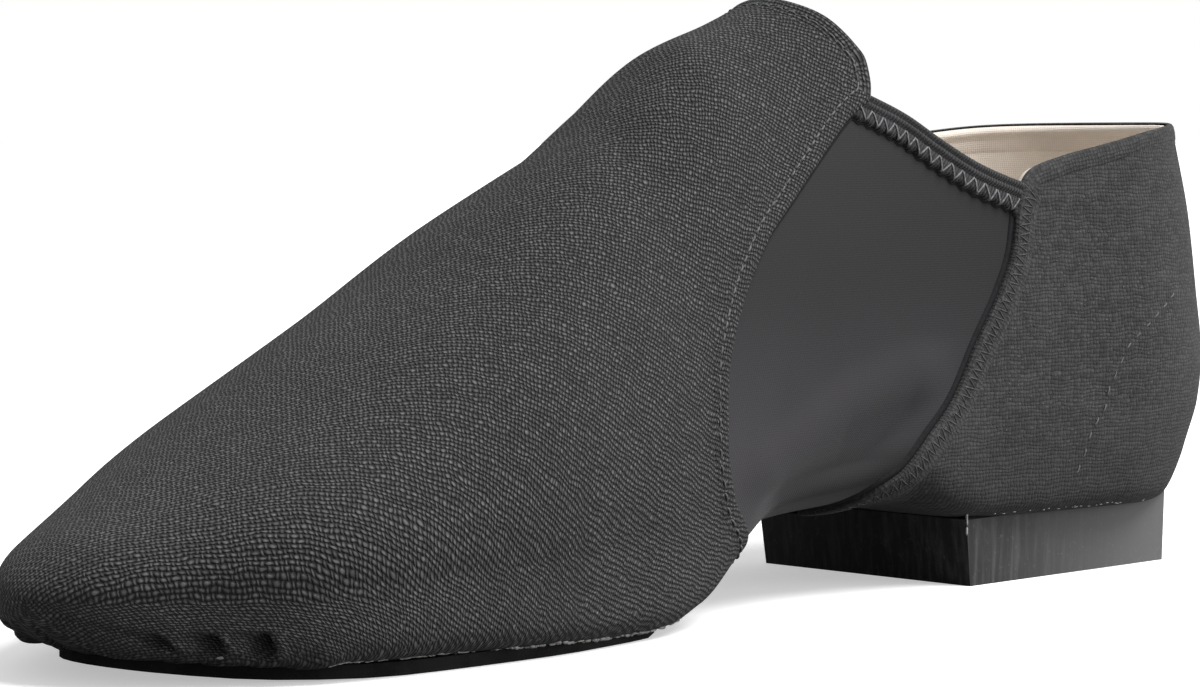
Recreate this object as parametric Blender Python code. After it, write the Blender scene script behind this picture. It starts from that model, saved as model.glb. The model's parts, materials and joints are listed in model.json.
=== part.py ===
"""A slip-on jazz shoe for the right foot: canvas vamp and heel quarter, stretch side panels, split sole."""

import math

import bmesh
import bpy
import numpy as np

# Sizes in metres. The toe points along -Y and the wearer's left, the inner side of this foot, is +X.
SHOE_LENGTH = 0.262
BALL_WIDTH = 0.090
INSTEP_HEIGHT = 0.084
HEEL_HEIGHT = 0.0114
SOLE_THICKNESS = 0.0020
TOE_SPRING = 0.0040

WALL = 0.0020
PANEL_STEP = 0.0008
GAP = 0.0003

TOE_ROUND = 0.038
TOE_NOSE = 0.011
HEEL_ROUND = 0.040
HEEL_CORNER = 0.010
HEEL_TUCK = 0.010
RIDGE_LEAN = 0.0065
TOE_SWING = 0.011

LASTING_MARGIN = 0.011
INSOLE_THICKNESS = 0.0018
SOLE_INSET = 0.0045
SOLE_TOE_SETBACK = 0.006
SOLE_END = 0.43
SOLE_END_ROUND = 0.020

BLOCK_BREAST = 0.0795
BLOCK_LENGTH = 0.056
BLOCK_FRONT_WIDTH = 0.049
BLOCK_BACK_WIDTH = 0.0425
BLOCK_BACK_ARC = 0.0035
BLOCK_TAPER = 0.0005
BLOCK_RAKE = 0.0015
BLOCK_BACK_RISE = 0.0024

BINDING_WIDTH = 0.0075
BINDING_THICKNESS = 0.0010

# The last, a row for each section from toe tip to heel. "at" is a share of the shoe's length,
# "swing" of the toe swing, "inner" and "outer" of the ball width to each side of the swung middle,
# "lift" of the rise from sole to heel, "spring" of the toe spring, "widest" and "ridge" of the instep
# height, "lean" of the ridge lean. "crown" and "flat" are the roundness of the section above and below
# its widest level.
LAST_COLUMNS = ("at", "swing", "inner", "outer", "lift", "spring", "widest", "ridge", "lean", "crown", "flat")
LAST = (
    (0.00, 1.00, 0.278, 0.315, 0.00, 0.92, 0.072, 0.138, 0.3, 2.1, 3.6),
    (0.05, 0.90, 0.300, 0.335, 0.00, 0.40, 0.110, 0.218, 0.4, 2.1, 4.6),
    (0.10, 0.73, 0.368, 0.368, 0.00, 0.10, 0.130, 0.312, 0.6, 2.1, 6.0),
    (0.18, 0.40, 0.435, 0.464, 0.00, 0.00, 0.140, 0.441, 0.8, 2.1, 6.5),
    (0.27, 0.08, 0.470, 0.506, 0.00, 0.00, 0.150, 0.594, 1.0, 2.05, 6.5),
    (0.36, 0.00, 0.436, 0.515, 0.00, 0.00, 0.163, 0.762, 0.9, 2.0, 6.0),
    (0.42, 0.00, 0.392, 0.497, 0.05, 0.00, 0.163, 0.858, 0.8, 1.95, 5.0),
    (0.47, 0.00, 0.352, 0.466, 0.50, 0.00, 0.157, 0.918, 0.7, 1.95, 3.2),
    (0.51, 0.00, 0.330, 0.436, 0.94, 0.00, 0.150, 0.952, 0.5, 1.95, 2.7),
    (0.56, 0.00, 0.315, 0.402, 1.08, 0.00, 0.145, 0.984, 0.3, 2.0, 2.6),
    (0.64, 0.00, 0.301, 0.350, 1.20, 0.00, 0.165, 1.080, 0.1, 2.0, 2.7),
    (0.74, 0.00, 0.305, 0.330, 1.06, 0.00, 0.185, 1.333, 0.0, 2.1, 4.6),
    (0.85, 0.00, 0.315, 0.330, 1.00, 0.00, 0.195, 1.640, 0.0, 2.2, 6.5),
    (1.00, 0.00, 0.325, 0.340, 1.00, 0.00, 0.195, 1.760, 0.0, 2.3, 6.5),
)

# The back seen from the side: how far it stands in, as a share of the heel tuck, at each height
# above the seat, as a share of the instep height.
BACK_COLUMNS = ("height", "tuck")
BACK = (
    (-0.14, 1.35),
    (0.00, 1.20),
    (0.10, 0.66),
    (0.20, 0.16),
    (0.30, 0.02),
    (0.43, 0.18),
    (0.60, 0.50),
    (0.79, 1.00),
    (1.76, 3.00),
)
BACK_STARTS = 0.72
BACK_EASE = 1.5

# Edges seen from the side. "at" is a share of the shoe's length from the toe, "height" a share of
# the instep height above the underside there.
EDGE_COLUMNS = ("at", "height")
VAMP_EDGE = (
    (0.485, -0.160),
    (0.468, 0.060),
    (0.443, 0.200),
    (0.436, 0.296),
    (0.440, 0.406),
    (0.466, 0.521),
    (0.527, 0.636),
    (0.599, 0.783),
    (0.621, 0.816),
)
TONGUE_EDGE = (
    (0.621, 0.816),
    (0.625, 0.850),
    (0.627, 0.894),
    (0.623, 0.927),
    (0.613, 0.979),
    (0.598, 1.015),
    (0.575, 1.060),
)
PANEL_TOPLINE = (
    (0.621, 0.816),
    (0.648, 0.778),
    (0.674, 0.732),
    (0.705, 0.688),
    (0.742, 0.656),
)
QUARTER_TOPLINE = (
    (0.742, 0.656),
    (0.752, 0.688),
    (0.780, 0.716),
    (0.820, 0.742),
    (0.877, 0.774),
    (0.940, 0.790),
    (1.100, 0.798),
)
QUARTER_EDGE = (
    (0.575, -0.160),
    (0.592, 0.015),
    (0.624, 0.089),
    (0.642, 0.144),
    (0.666, 0.218),
    (0.690, 0.332),
    (0.715, 0.445),
    (0.728, 0.524),
    (0.736, 0.620),
    (0.742, 0.656),
)

# Where the ball and the heel seat lie along the shoe, the share of its length over which a slope is
# read, how far a cutter reaches below the floor, and how far a band runs on past its ends.
BALL_AT = 0.25
SEAT_AT = 0.85
SLOPE_SPAN = 0.01
BELOW = 0.010
BAND_RUN_ON = 0.010

# How finely each form is cut: stations along the last, points round a section and along an edge.
TOE_STATIONS = 10
MIDDLE_STATIONS = 20
HEEL_STATIONS = 10
AROUND_TOP = 26
AROUND_UNDER = 18
SEAM_POINTS = 20
TOPLINE_POINTS = 10
BAND_POINTS = 12
OUTLINE_POINTS = 24
SLAB_POINTS = 26
BLOCK_BACK_POINTS = 9
SHARP_ANGLE = 35.0

# Finishes, each a colour and a roughness.
CANVAS = ((0.028, 0.029, 0.031, 1.0), 0.92)
LINING = ((0.42, 0.38, 0.33, 1.0), 0.90)
SUEDE = ((0.020, 0.020, 0.021, 1.0), 0.85)
RUBBER = ((0.022, 0.022, 0.023, 1.0), 0.55)
KNIT = ((0.045, 0.045, 0.048, 1.0), 0.88)


def clear_scene():
    for thing in list(bpy.data.objects):
        bpy.data.objects.remove(thing)


def through(rows, columns, name, at):
    """The named column's value at a place along the table: smooth, and never past its own rows."""
    places = np.array([row[0] for row in rows])
    values = np.array([row[columns.index(name)] for row in rows])
    spans = np.diff(places)
    rises = np.diff(values) / spans
    slopes = np.zeros(len(values))
    slopes[0], slopes[-1] = rises[0], rises[-1]
    same_way = rises[:-1] * rises[1:] > 0
    before, after = np.where(same_way, rises[:-1], 1.0), np.where(same_way, rises[1:], 1.0)
    mean = (spans[:-1] + spans[1:]) / (spans[:-1] / before + spans[1:] / after)
    slopes[1:-1] = np.where(same_way, mean, 0.0)
    k = np.clip(np.searchsorted(places, at, side="right") - 1, 0, len(spans) - 1)
    u = (at - places[k]) / spans[k]
    start = values[k] * (1 + 2 * u) * (1 - u) ** 2 + slopes[k] * spans[k] * u * (1 - u) ** 2
    end = values[k + 1] * u * u * (3 - 2 * u) + slopes[k + 1] * spans[k] * u * u * (u - 1)
    return start + end


def last_value(name, at):
    return through(LAST, LAST_COLUMNS, name, at)


def round_end(distance, length):
    """0 at an end and 1 from this length on, as a quarter of an ellipse."""
    s = np.clip(distance / length, 0.0, 1.0)
    return np.sqrt(1.0 - (1.0 - s) ** 2)


def plan_round(at, inset=0.0):
    length = SHOE_LENGTH - 2 * inset
    toe = round_end(at * length, TOE_ROUND - inset)
    return toe * round_end((1.0 - at) * length, HEEL_ROUND - inset)


def underside(at):
    """Height of the upper's underside above the floor, along the middle of the shoe."""
    lift = last_value("lift", at) * (HEEL_HEIGHT - SOLE_THICKNESS)
    return SOLE_THICKNESS + GAP + lift + last_value("spring", at) * TOE_SPRING


def ridge_slope(at):
    """How steeply the ridge of the last climbs here."""
    low, high = max(at - SLOPE_SPAN, 0.0), min(at + SLOPE_SPAN, 1.0)
    rise = underside(high) - underside(low)
    rise += (last_value("ridge", high) - last_value("ridge", low)) * INSTEP_HEIGHT
    return rise / ((high - low) * SHOE_LENGTH)


def section(at, inset=0.0):
    """The closed section of the last at this share of its length, as an array of points. An inset
    gives the same section of a form that lies this much inside the last, or outside where negative."""
    length = SHOE_LENGTH - 2 * inset
    plan = plan_round(at, inset)
    nose = round_end(at * length, TOE_NOSE - inset)
    corner = (HEEL_CORNER - inset) * (1.0 - round_end((1.0 - at) * length, HEEL_CORNER - inset))
    base = underside(at)
    middle = base + last_value("widest", at) * INSTEP_HEIGHT
    above = (last_value("ridge", at) - last_value("widest", at)) * INSTEP_HEIGHT
    above = (above - inset * math.hypot(1.0, ridge_slope(at))) * nose
    below = (middle - base - inset) * nose - corner
    over = np.linspace(0.0, math.pi, AROUND_TOP, endpoint=False)
    under = np.linspace(math.pi, 2 * math.pi, AROUND_UNDER, endpoint=False)
    turn = np.concatenate([over, under])
    top = turn < math.pi
    power = 2.0 / np.where(top, last_value("crown", at), last_value("flat", at))
    out = np.abs(np.cos(turn)) ** power
    up = np.abs(np.sin(turn)) ** power
    inner = (last_value("inner", at) * BALL_WIDTH - inset) * plan
    outer = (last_value("outer", at) * BALL_WIDTH - inset) * plan
    lean = last_value("lean", at) * RIDGE_LEAN * plan
    swing = last_value("swing", at) * TOE_SWING
    x = swing + np.where(np.cos(turn) >= 0, inner, -outer) * out + np.where(top, lean * up, 0.0)
    z = middle + np.where(top, above, -below) * up
    tuck = through(BACK, BACK_COLUMNS, "tuck", (z - base) / INSTEP_HEIGHT) * HEEL_TUCK
    share = np.clip((at - BACK_STARTS) / (1.0 - BACK_STARTS), 0.0, 1.0) ** BACK_EASE
    y = (at - 0.5) * length - tuck * share
    return np.stack([x, y, z], axis=1)


def stations():
    toe_end = TOE_ROUND / SHOE_LENGTH
    heel_start = 1.0 - HEEL_ROUND / SHOE_LENGTH
    toe = toe_end * (1.0 - np.cos(np.linspace(0, math.pi / 2, TOE_STATIONS + 1)))
    heel = 1.0 - (1.0 - heel_start) * (1.0 - np.cos(np.linspace(0, math.pi / 2, HEEL_STATIONS + 1)))
    middle = np.linspace(toe_end, heel_start, MIDDLE_STATIONS + 1)
    return np.concatenate([toe, middle[1:-1], heel[::-1]])


def find_middle():
    """The middle (x, y) of the whole last seen from above, which stands at the frame's origin."""
    plan = np.concatenate([section(at)[:, :2] for at in stations()])
    return (plan.max(axis=0) + plan.min(axis=0)) / 2


MIDDLE_X, MIDDLE_Y = find_middle()


def along_shoe(at, inset=0.0):
    """The frame's Y at a share of the shoe's length."""
    return (at - 0.5) * (SHOE_LENGTH - 2 * inset) - MIDDLE_Y


def face_outward(bm):
    bmesh.ops.recalc_face_normals(bm, faces=bm.faces)
    if bm.calc_volume(signed=True) < 0:
        bmesh.ops.reverse_faces(bm, faces=bm.faces)
    bm.normal_update()


def object_from(name, bm, helper=False):
    face_outward(bm)
    mesh = bpy.data.meshes.new(name)
    bm.to_mesh(mesh)
    bm.free()
    piece = bpy.data.objects.new(name, mesh)
    bpy.context.scene.collection.objects.link(piece)
    if helper:
        piece.hide_render = True
        piece.display_type = "WIRE"
    return piece


def last_form(name, outward=0.0):
    """The whole last as a closed form, its surface moved out by this much, or in where negative."""
    bm = bmesh.new()
    rings = []
    for at in stations():
        ring = section(at, -outward)
        rings.append([bm.verts.new((x - MIDDLE_X, y - MIDDLE_Y, z)) for x, y, z in ring])
    for first, second in zip(rings, rings[1:]):
        for k in range(len(first)):
            n = (k + 1) % len(first)
            bm.faces.new((first[k], first[n], second[n], second[k]))
    bmesh.ops.remove_doubles(bm, verts=bm.verts, dist=1e-6)
    return object_from(name, bm, helper=True)


def edge_points(rows, count):
    """Points (y, z) along an edge of the side view, smooth through its rows."""
    place = np.arange(len(rows))
    numbered = [(k, *row) for k, row in zip(place, rows)]
    columns = ("row", *EDGE_COLUMNS)
    steps = np.linspace(0, len(rows) - 1, count)
    at = through(numbered, columns, "at", steps)
    height = through(numbered, columns, "height", steps)
    level = np.array([underside(min(max(a, 0.0), 1.0)) for a in at])
    return np.stack([along_shoe(at), level + height * INSTEP_HEIGHT], axis=1)


def side_prism(name, outline, x_from, x_to):
    """An outline of the side view, (y, z) in order, stretched across the shoe between two widths."""
    bm = bmesh.new()
    near = [bm.verts.new((x_from, y, z)) for y, z in outline]
    face = bm.faces.new(near)
    made = bmesh.ops.extrude_face_region(bm, geom=[face])["geom"]
    for vert in (item for item in made if isinstance(item, bmesh.types.BMVert)):
        vert.co.x = x_to
    return object_from(name, bm, helper=True)


def plan_prism(name, outline, z_from, z_to, top_outline=None):
    """An outline of the plan, (x, y) in order, raised between two heights."""
    bm = bmesh.new()
    low = [bm.verts.new((x, y, z_from)) for x, y in outline]
    high = [bm.verts.new((x, y, z_to)) for x, y in (outline if top_outline is None else top_outline)]
    bm.faces.new(low)
    bm.faces.new(high)
    for k in range(len(low)):
        n = (k + 1) % len(low)
        bm.faces.new((low[k], low[n], high[n], high[k]))
    return object_from(name, bm, helper=True)


def boolean(piece, operation, other):
    """Applies one Boolean, so the next one cuts its result."""
    step = piece.modifiers.new(operation.lower(), "BOOLEAN")
    step.operation = operation
    step.object = other
    step.solver = "EXACT"
    graph = bpy.context.evaluated_depsgraph_get()
    mesh = bpy.data.meshes.new_from_object(piece.evaluated_get(graph))
    piece.modifiers.clear()
    piece.data = mesh
    return piece


def show(piece, material):
    piece.hide_render = False
    piece.display_type = "TEXTURED"
    piece.data.materials.clear()
    piece.data.materials.append(material)
    piece.data.shade_smooth()
    piece.data.set_sharp_from_angle(angle=math.radians(SHARP_ANGLE))
    return piece


def finish(name, look):
    colour, roughness = look
    material = bpy.data.materials.new(name)
    material.use_nodes = True
    shader = material.node_tree.nodes["Principled BSDF"]
    shader.inputs["Base Color"].default_value = colour
    shader.inputs["Roughness"].default_value = roughness
    shader.inputs["Metallic"].default_value = 0.0
    return material


def over_the_last():
    """A height well above the whole last, for cutters that open it upward."""
    return 2 * INSTEP_HEIGHT * max(row[LAST_COLUMNS.index("ridge")] for row in LAST)


def topline():
    """The collar's edge from the tongue's ridge back to behind the heel, as (y, z)."""
    tongue = edge_points(TONGUE_EDGE, TOPLINE_POINTS)[::-1]
    panel = edge_points(PANEL_TOPLINE, TOPLINE_POINTS)
    quarter = edge_points(QUARTER_TOPLINE, TOPLINE_POINTS)
    return np.concatenate([tongue, panel[1:], quarter[1:]])


def collar_cutter():
    line = topline()
    high = over_the_last()
    outline = [*line, (line[-1][0], high), (line[0][0], high)]
    return side_prism("collar_cutter", outline, -BALL_WIDTH, BALL_WIDTH)


def panel_region(name, clearance=0.0):
    """The side view between the vamp's rear edge and the quarter's front edge, where the stretch
    fabric shows, held back from both edges by a clearance."""
    tongue = edge_points(TONGUE_EDGE, SEAM_POINTS)
    tongue = tongue[: np.argmax(tongue[:, 0]) + 1]
    vamp = np.concatenate([edge_points(VAMP_EDGE, SEAM_POINTS), tongue[1:]])
    quarter = edge_points(QUARTER_EDGE, SEAM_POINTS)
    vamp[:, 0] += clearance
    quarter[:, 0] -= clearance
    high = over_the_last()
    outline = [*vamp, (vamp[-1][0], high), (quarter[-1][0], high), *quarter[::-1]]
    return side_prism(name, outline, -BALL_WIDTH, BALL_WIDTH)


def plan_outline(end, inset, end_round):
    """Outline (x, y) of a flat piece under the last, from near the toe to a share of its length, inset
    all round and rounded off at its end."""
    start = SOLE_TOE_SETBACK / SHOE_LENGTH
    places = start + (end - start) * (1.0 - np.cos(np.linspace(0.0, math.pi, OUTLINE_POINTS))) / 2
    inner, outer = [], []
    for at in places:
        reach = plan_round(at - start, inset) * round_end((end - at) * SHOE_LENGTH, end_round)
        middle = last_value("swing", at) * TOE_SWING - MIDDLE_X
        y = along_shoe(at, inset)
        inner.append((middle + (last_value("inner", at) * BALL_WIDTH - inset) * reach, y))
        outer.append((middle - (last_value("outer", at) * BALL_WIDTH - inset) * reach, y))
    return inner + outer[-2:0:-1]


def slab(name, start, end, under, over):
    """A slab across the shoe between two curves of the side view, each a height at a share of the length."""
    places = np.linspace(start, end, SLAB_POINTS)
    low = [(along_shoe(at), under(at)) for at in places]
    high = [(along_shoe(at), over(at)) for at in places]
    return side_prism(name, [*low, *high[::-1]], -BALL_WIDTH, BALL_WIDTH)


def sole_bottom(at):
    """Height of the sole's bottom: flat on the floor under the ball, rising to the toe and the arch."""
    return underside(at) - underside(BALL_AT)


def make_upper(material):
    upper = last_form("upper")
    sunk = last_form("panel_face", -PANEL_STEP)
    recess = boolean(panel_region("panel_recess"), "DIFFERENCE", sunk)
    boolean(upper, "DIFFERENCE", recess)
    boolean(upper, "DIFFERENCE", last_form("inside", -WALL))
    boolean(upper, "DIFFERENCE", collar_cutter())
    fore = plan_outline(SOLE_END, SOLE_INSET + LASTING_MARGIN, SOLE_END_ROUND)
    fore_level = underside(BALL_AT) + 2 * WALL
    boolean(upper, "DIFFERENCE", plan_prism("forefoot_opening", fore, -BELOW, fore_level))
    seat = block_outline(LASTING_MARGIN, 0.0)
    seat_level = underside(SEAT_AT) + 2 * WALL
    boolean(upper, "DIFFERENCE", plan_prism("seat_opening", seat, -BELOW, seat_level))
    return show(upper, material)


def below_floor(at):
    return -BELOW


def insole_top(at):
    return underside(at) + WALL + GAP + INSOLE_THICKNESS


def sole_top(at):
    return sole_bottom(at) + SOLE_THICKNESS


def make_insole(material):
    insole = last_form("insole", -(WALL + GAP))
    layer = slab("insole_slab", 0.0, 1.0, below_floor, insole_top)
    boolean(insole, "INTERSECT", layer)
    return show(insole, material)


def make_forefoot_sole(material):
    sole = slab("forefoot_sole", 0.0, SOLE_END, sole_bottom, sole_top)
    outline = plan_outline(SOLE_END, SOLE_INSET, SOLE_END_ROUND)
    boolean(sole, "INTERSECT", plan_prism("sole_outline", outline, -BELOW, BALL_WIDTH / 2))
    boolean(sole, "DIFFERENCE", last_form("sole_clearance", GAP))
    return show(sole, material)


BREAST_Y = along_shoe(1.0) - BLOCK_BREAST


def block_outline(inset, spread):
    """Plan of the heel block, from its inner breast corner round the back, less an inset."""
    front = BREAST_Y + inset
    back = front + BLOCK_LENGTH - 2 * inset
    front_half = BLOCK_FRONT_WIDTH / 2 - inset + spread
    back_half = BLOCK_BACK_WIDTH / 2 - inset + spread
    points = [(front_half, front)]
    for turn in np.linspace(1.0, -1.0, BLOCK_BACK_POINTS):
        points.append((back_half * turn, back + BLOCK_BACK_ARC * (1.0 - turn**2)))
    points.append((-front_half, front))
    return [(x - MIDDLE_X, y) for x, y in points]


def block_top(at):
    """Height of the block's top edge, which rises a little toward the back with the heel seat."""
    along = max(along_shoe(at) - BREAST_Y, 0.0) / BLOCK_LENGTH
    return HEEL_HEIGHT + BLOCK_BACK_RISE * along**2


def make_heel(material):
    foot = block_outline(0.0, -BLOCK_TAPER)
    tall = 2 * (HEEL_HEIGHT + BLOCK_BACK_RISE)
    rake = BLOCK_RAKE * tall / HEEL_HEIGHT
    head = [list(point) for point in block_outline(0.0, BLOCK_TAPER)]
    head[0][1] -= rake
    head[-1][1] -= rake
    heel = plan_prism("heel", foot, 0.0, tall, head)
    front = 1.0 - (BLOCK_BREAST + 2 * rake) / SHOE_LENGTH
    boolean(heel, "INTERSECT", slab("block_slab", front, 1.0, below_floor, block_top))
    boolean(heel, "DIFFERENCE", last_form("block_clearance", GAP))
    return show(heel, material)


def band_prism(name, above, below, side):
    """A band of the side view along the stretch panel's top edge and past both its ends, on one side."""
    line = edge_points(PANEL_TOPLINE, BAND_POINTS)
    before = line[0] + (line[0] - line[1]) * BAND_RUN_ON / np.linalg.norm(line[0] - line[1])
    after = line[-1] + (line[-1] - line[-2]) * BAND_RUN_ON / np.linalg.norm(line[-1] - line[-2])
    line = np.concatenate([[before], line, [after]])
    along = np.gradient(line, axis=0)
    along /= np.linalg.norm(along, axis=1, keepdims=True)
    normal = np.stack([-along[:, 1], along[:, 0]], axis=1)
    outline = [*(line + normal * above), *(line - normal * below)[::-1]]
    reach = (GAP, BALL_WIDTH) if side > 0 else (-BALL_WIDTH, -GAP)
    return side_prism(name, outline, *reach)


def make_binding(name, side, material):
    """A strip folded over the stretch panel's top edge: an outer leg, a fold and an inner leg."""
    out = GAP + BINDING_THICKNESS
    binding = band_prism(name, out, BINDING_WIDTH, side)
    boolean(binding, "INTERSECT", panel_region("binding_ends", 2 * GAP))
    boolean(binding, "INTERSECT", last_form("binding_outside", out - PANEL_STEP))
    boolean(binding, "DIFFERENCE", last_form("binding_inside", -WALL - out))
    core = band_prism("binding_core", GAP, BINDING_WIDTH + WALL, side)
    boolean(core, "INTERSECT", last_form("core_outside", GAP - PANEL_STEP))
    boolean(core, "DIFFERENCE", last_form("core_inside", -WALL - GAP))
    boolean(binding, "DIFFERENCE", core)
    return show(binding, material)


def main():
    clear_scene()
    make_upper(finish("black_canvas", CANVAS))
    make_insole(finish("pale_lining", LINING))
    make_forefoot_sole(finish("black_suede", SUEDE))
    make_heel(finish("black_rubber", RUBBER))
    binding = finish("knit_binding", KNIT)
    for name, side in (("collar_binding_left", 1), ("collar_binding_right", -1)):
        make_binding(name, side, binding)


main()
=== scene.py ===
"""The looks of a slip-on jazz shoe for the right foot: woven canvas, stretch panels, lining, bindings,
stitching, suede sole and rubber heel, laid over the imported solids."""

import json
import math

import bmesh
import bpy
import numpy as np
from bpy.props import FloatProperty, FloatVectorProperty, IntProperty, PointerProperty
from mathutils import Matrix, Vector

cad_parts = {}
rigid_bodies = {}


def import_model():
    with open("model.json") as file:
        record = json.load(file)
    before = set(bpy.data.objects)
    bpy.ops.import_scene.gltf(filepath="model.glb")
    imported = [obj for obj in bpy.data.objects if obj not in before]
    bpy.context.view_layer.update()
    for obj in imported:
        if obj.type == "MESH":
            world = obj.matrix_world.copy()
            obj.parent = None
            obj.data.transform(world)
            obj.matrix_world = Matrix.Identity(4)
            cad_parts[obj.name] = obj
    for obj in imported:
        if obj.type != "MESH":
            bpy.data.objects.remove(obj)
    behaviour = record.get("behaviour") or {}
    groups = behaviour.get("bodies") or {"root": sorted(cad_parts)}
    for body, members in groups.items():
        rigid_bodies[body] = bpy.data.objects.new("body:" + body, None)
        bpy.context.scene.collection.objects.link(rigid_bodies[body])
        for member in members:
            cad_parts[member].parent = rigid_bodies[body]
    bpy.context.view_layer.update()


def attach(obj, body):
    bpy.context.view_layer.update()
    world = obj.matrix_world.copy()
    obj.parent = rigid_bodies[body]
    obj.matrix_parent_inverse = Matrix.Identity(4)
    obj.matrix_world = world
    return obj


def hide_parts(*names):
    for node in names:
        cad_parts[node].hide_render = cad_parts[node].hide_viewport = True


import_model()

bl_info = {
    "name": "Jazz shoe looks",
    "version": (1, 0, 0),
    "blender": (4, 5, 0),
    "location": "View3D > Sidebar > Jazz shoe",
    "description": "Builds the visible pieces of a slip-on jazz shoe",
    "category": "Object",
}

# Sizes of the last and its seams, in metres, the same as in the solids. The toe points along -Y and
# the inner side of the foot is +X.
SHOE_LENGTH = 0.262
BALL_WIDTH = 0.090
INSTEP_HEIGHT = 0.084
HEEL_HEIGHT = 0.0114
SOLE_THICKNESS = 0.0020
TOE_SPRING = 0.0040
WALL = 0.0020
PANEL_STEP = 0.0008
GAP = 0.0003
TOE_ROUND = 0.038
TOE_NOSE = 0.011
HEEL_ROUND = 0.040
HEEL_CORNER = 0.010
HEEL_TUCK = 0.010
RIDGE_LEAN = 0.0065
TOE_SWING = 0.011
SOLE_INSET = 0.0045
SOLE_TOE_SETBACK = 0.006
SOLE_END = 0.43

LAST_COLUMNS = ("at", "swing", "inner", "outer", "lift", "spring", "widest", "ridge", "lean", "crown", "flat")
LAST = (
    (0.00, 1.00, 0.278, 0.315, 0.00, 0.92, 0.072, 0.138, 0.3, 2.1, 3.6),
    (0.05, 0.90, 0.300, 0.335, 0.00, 0.40, 0.110, 0.218, 0.4, 2.1, 4.6),
    (0.10, 0.73, 0.368, 0.368, 0.00, 0.10, 0.130, 0.312, 0.6, 2.1, 6.0),
    (0.18, 0.40, 0.435, 0.464, 0.00, 0.00, 0.140, 0.441, 0.8, 2.1, 6.5),
    (0.27, 0.08, 0.470, 0.506, 0.00, 0.00, 0.150, 0.594, 1.0, 2.05, 8.0),
    (0.36, 0.00, 0.436, 0.515, 0.00, 0.00, 0.163, 0.762, 0.9, 2.0, 8.5),
    (0.42, 0.00, 0.392, 0.497, 0.05, 0.00, 0.163, 0.858, 0.8, 1.95, 5.5),
    (0.47, 0.00, 0.352, 0.466, 0.50, 0.00, 0.157, 0.918, 0.7, 1.95, 3.3),
    (0.51, 0.00, 0.330, 0.436, 0.94, 0.00, 0.150, 0.952, 0.5, 1.95, 2.7),
    (0.56, 0.00, 0.315, 0.402, 1.08, 0.00, 0.145, 0.984, 0.3, 2.0, 2.6),
    (0.64, 0.00, 0.301, 0.350, 1.20, 0.00, 0.165, 1.080, 0.1, 2.0, 3.4),
    (0.69, 0.00, 0.302, 0.338, 1.14, 0.00, 0.176, 1.195, 0.0, 2.05, 9.0),
    (0.74, 0.00, 0.305, 0.330, 1.06, 0.00, 0.185, 1.333, 0.0, 2.1, 10.0),
    (0.85, 0.00, 0.315, 0.330, 1.00, 0.00, 0.195, 1.640, 0.0, 2.2, 10.0),
    (1.00, 0.00, 0.325, 0.340, 1.00, 0.00, 0.195, 1.760, 0.0, 2.3, 6.5),
)
BACK_COLUMNS = ("height", "tuck")
BACK = (
    (-0.14, 1.35),
    (0.00, 1.20),
    (0.10, 0.66),
    (0.20, 0.16),
    (0.30, 0.02),
    (0.43, 0.18),
    (0.60, 0.50),
    (0.79, 1.00),
    (1.76, 3.00),
)
BACK_STARTS = 0.72
DROP_COLUMNS = ("at", "drop")
DROP = (
    (0.00, 0.00000),
    (0.03, 0.00050),
    (0.08, 0.00085),
    (0.20, 0.00100),
    (0.27, 0.00140),
    (0.34, 0.00205),
    (0.39, 0.00210),
    (0.42, 0.00120),
    (0.45, 0.00030),
    (0.50, 0.00000),
    (0.58, 0.00000),
    (0.65, 0.00040),
    (0.70, 0.00150),
    (0.76, 0.00120),
    (0.85, 0.00080),
    (0.93, 0.00110),
    (1.00, 0.00080),
)
BACK_EASE = 1.5
SLOPE_SPAN = 0.01

# Edges seen from the side: shares of the shoe's length and of the instep height above the underside.
EDGE_COLUMNS = ("row", "at", "height")
VAMP_EDGE = (
    (0.485, -0.160),
    (0.468, 0.060),
    (0.443, 0.200),
    (0.436, 0.296),
    (0.440, 0.406),
    (0.466, 0.521),
    (0.527, 0.636),
    (0.599, 0.783),
    (0.621, 0.816),
)
TONGUE_EDGE = (
    (0.621, 0.816),
    (0.625, 0.850),
    (0.627, 0.894),
    (0.623, 0.927),
    (0.613, 0.979),
    (0.598, 1.015),
    (0.575, 1.060),
)
PANEL_TOPLINE = (
    (0.621, 0.816),
    (0.648, 0.778),
    (0.674, 0.732),
    (0.705, 0.688),
    (0.742, 0.656),
)
QUARTER_TOPLINE = (
    (0.742, 0.656),
    (0.752, 0.688),
    (0.780, 0.716),
    (0.820, 0.742),
    (0.877, 0.774),
    (0.940, 0.790),
    (1.100, 0.798),
)
QUARTER_EDGE = (
    (0.575, -0.160),
    (0.592, 0.015),
    (0.624, 0.089),
    (0.642, 0.144),
    (0.666, 0.218),
    (0.690, 0.332),
    (0.715, 0.445),
    (0.728, 0.524),
    (0.736, 0.620),
    (0.742, 0.656),
)
TONGUE_CORNER = VAMP_EDGE[-1]
QUARTER_CORNER = QUARTER_EDGE[-1]

def length(name, description, value):
    return FloatProperty(name=name, description=description, default=value, unit="LENGTH")


def strength(name, description, value):
    return FloatProperty(name=name, description=description, default=value, min=0.0)


def colour(name, description, value):
    return FloatVectorProperty(
        name=name, description=description, default=value, size=4, subtype="COLOR", min=0.0, max=1.0
    )


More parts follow.
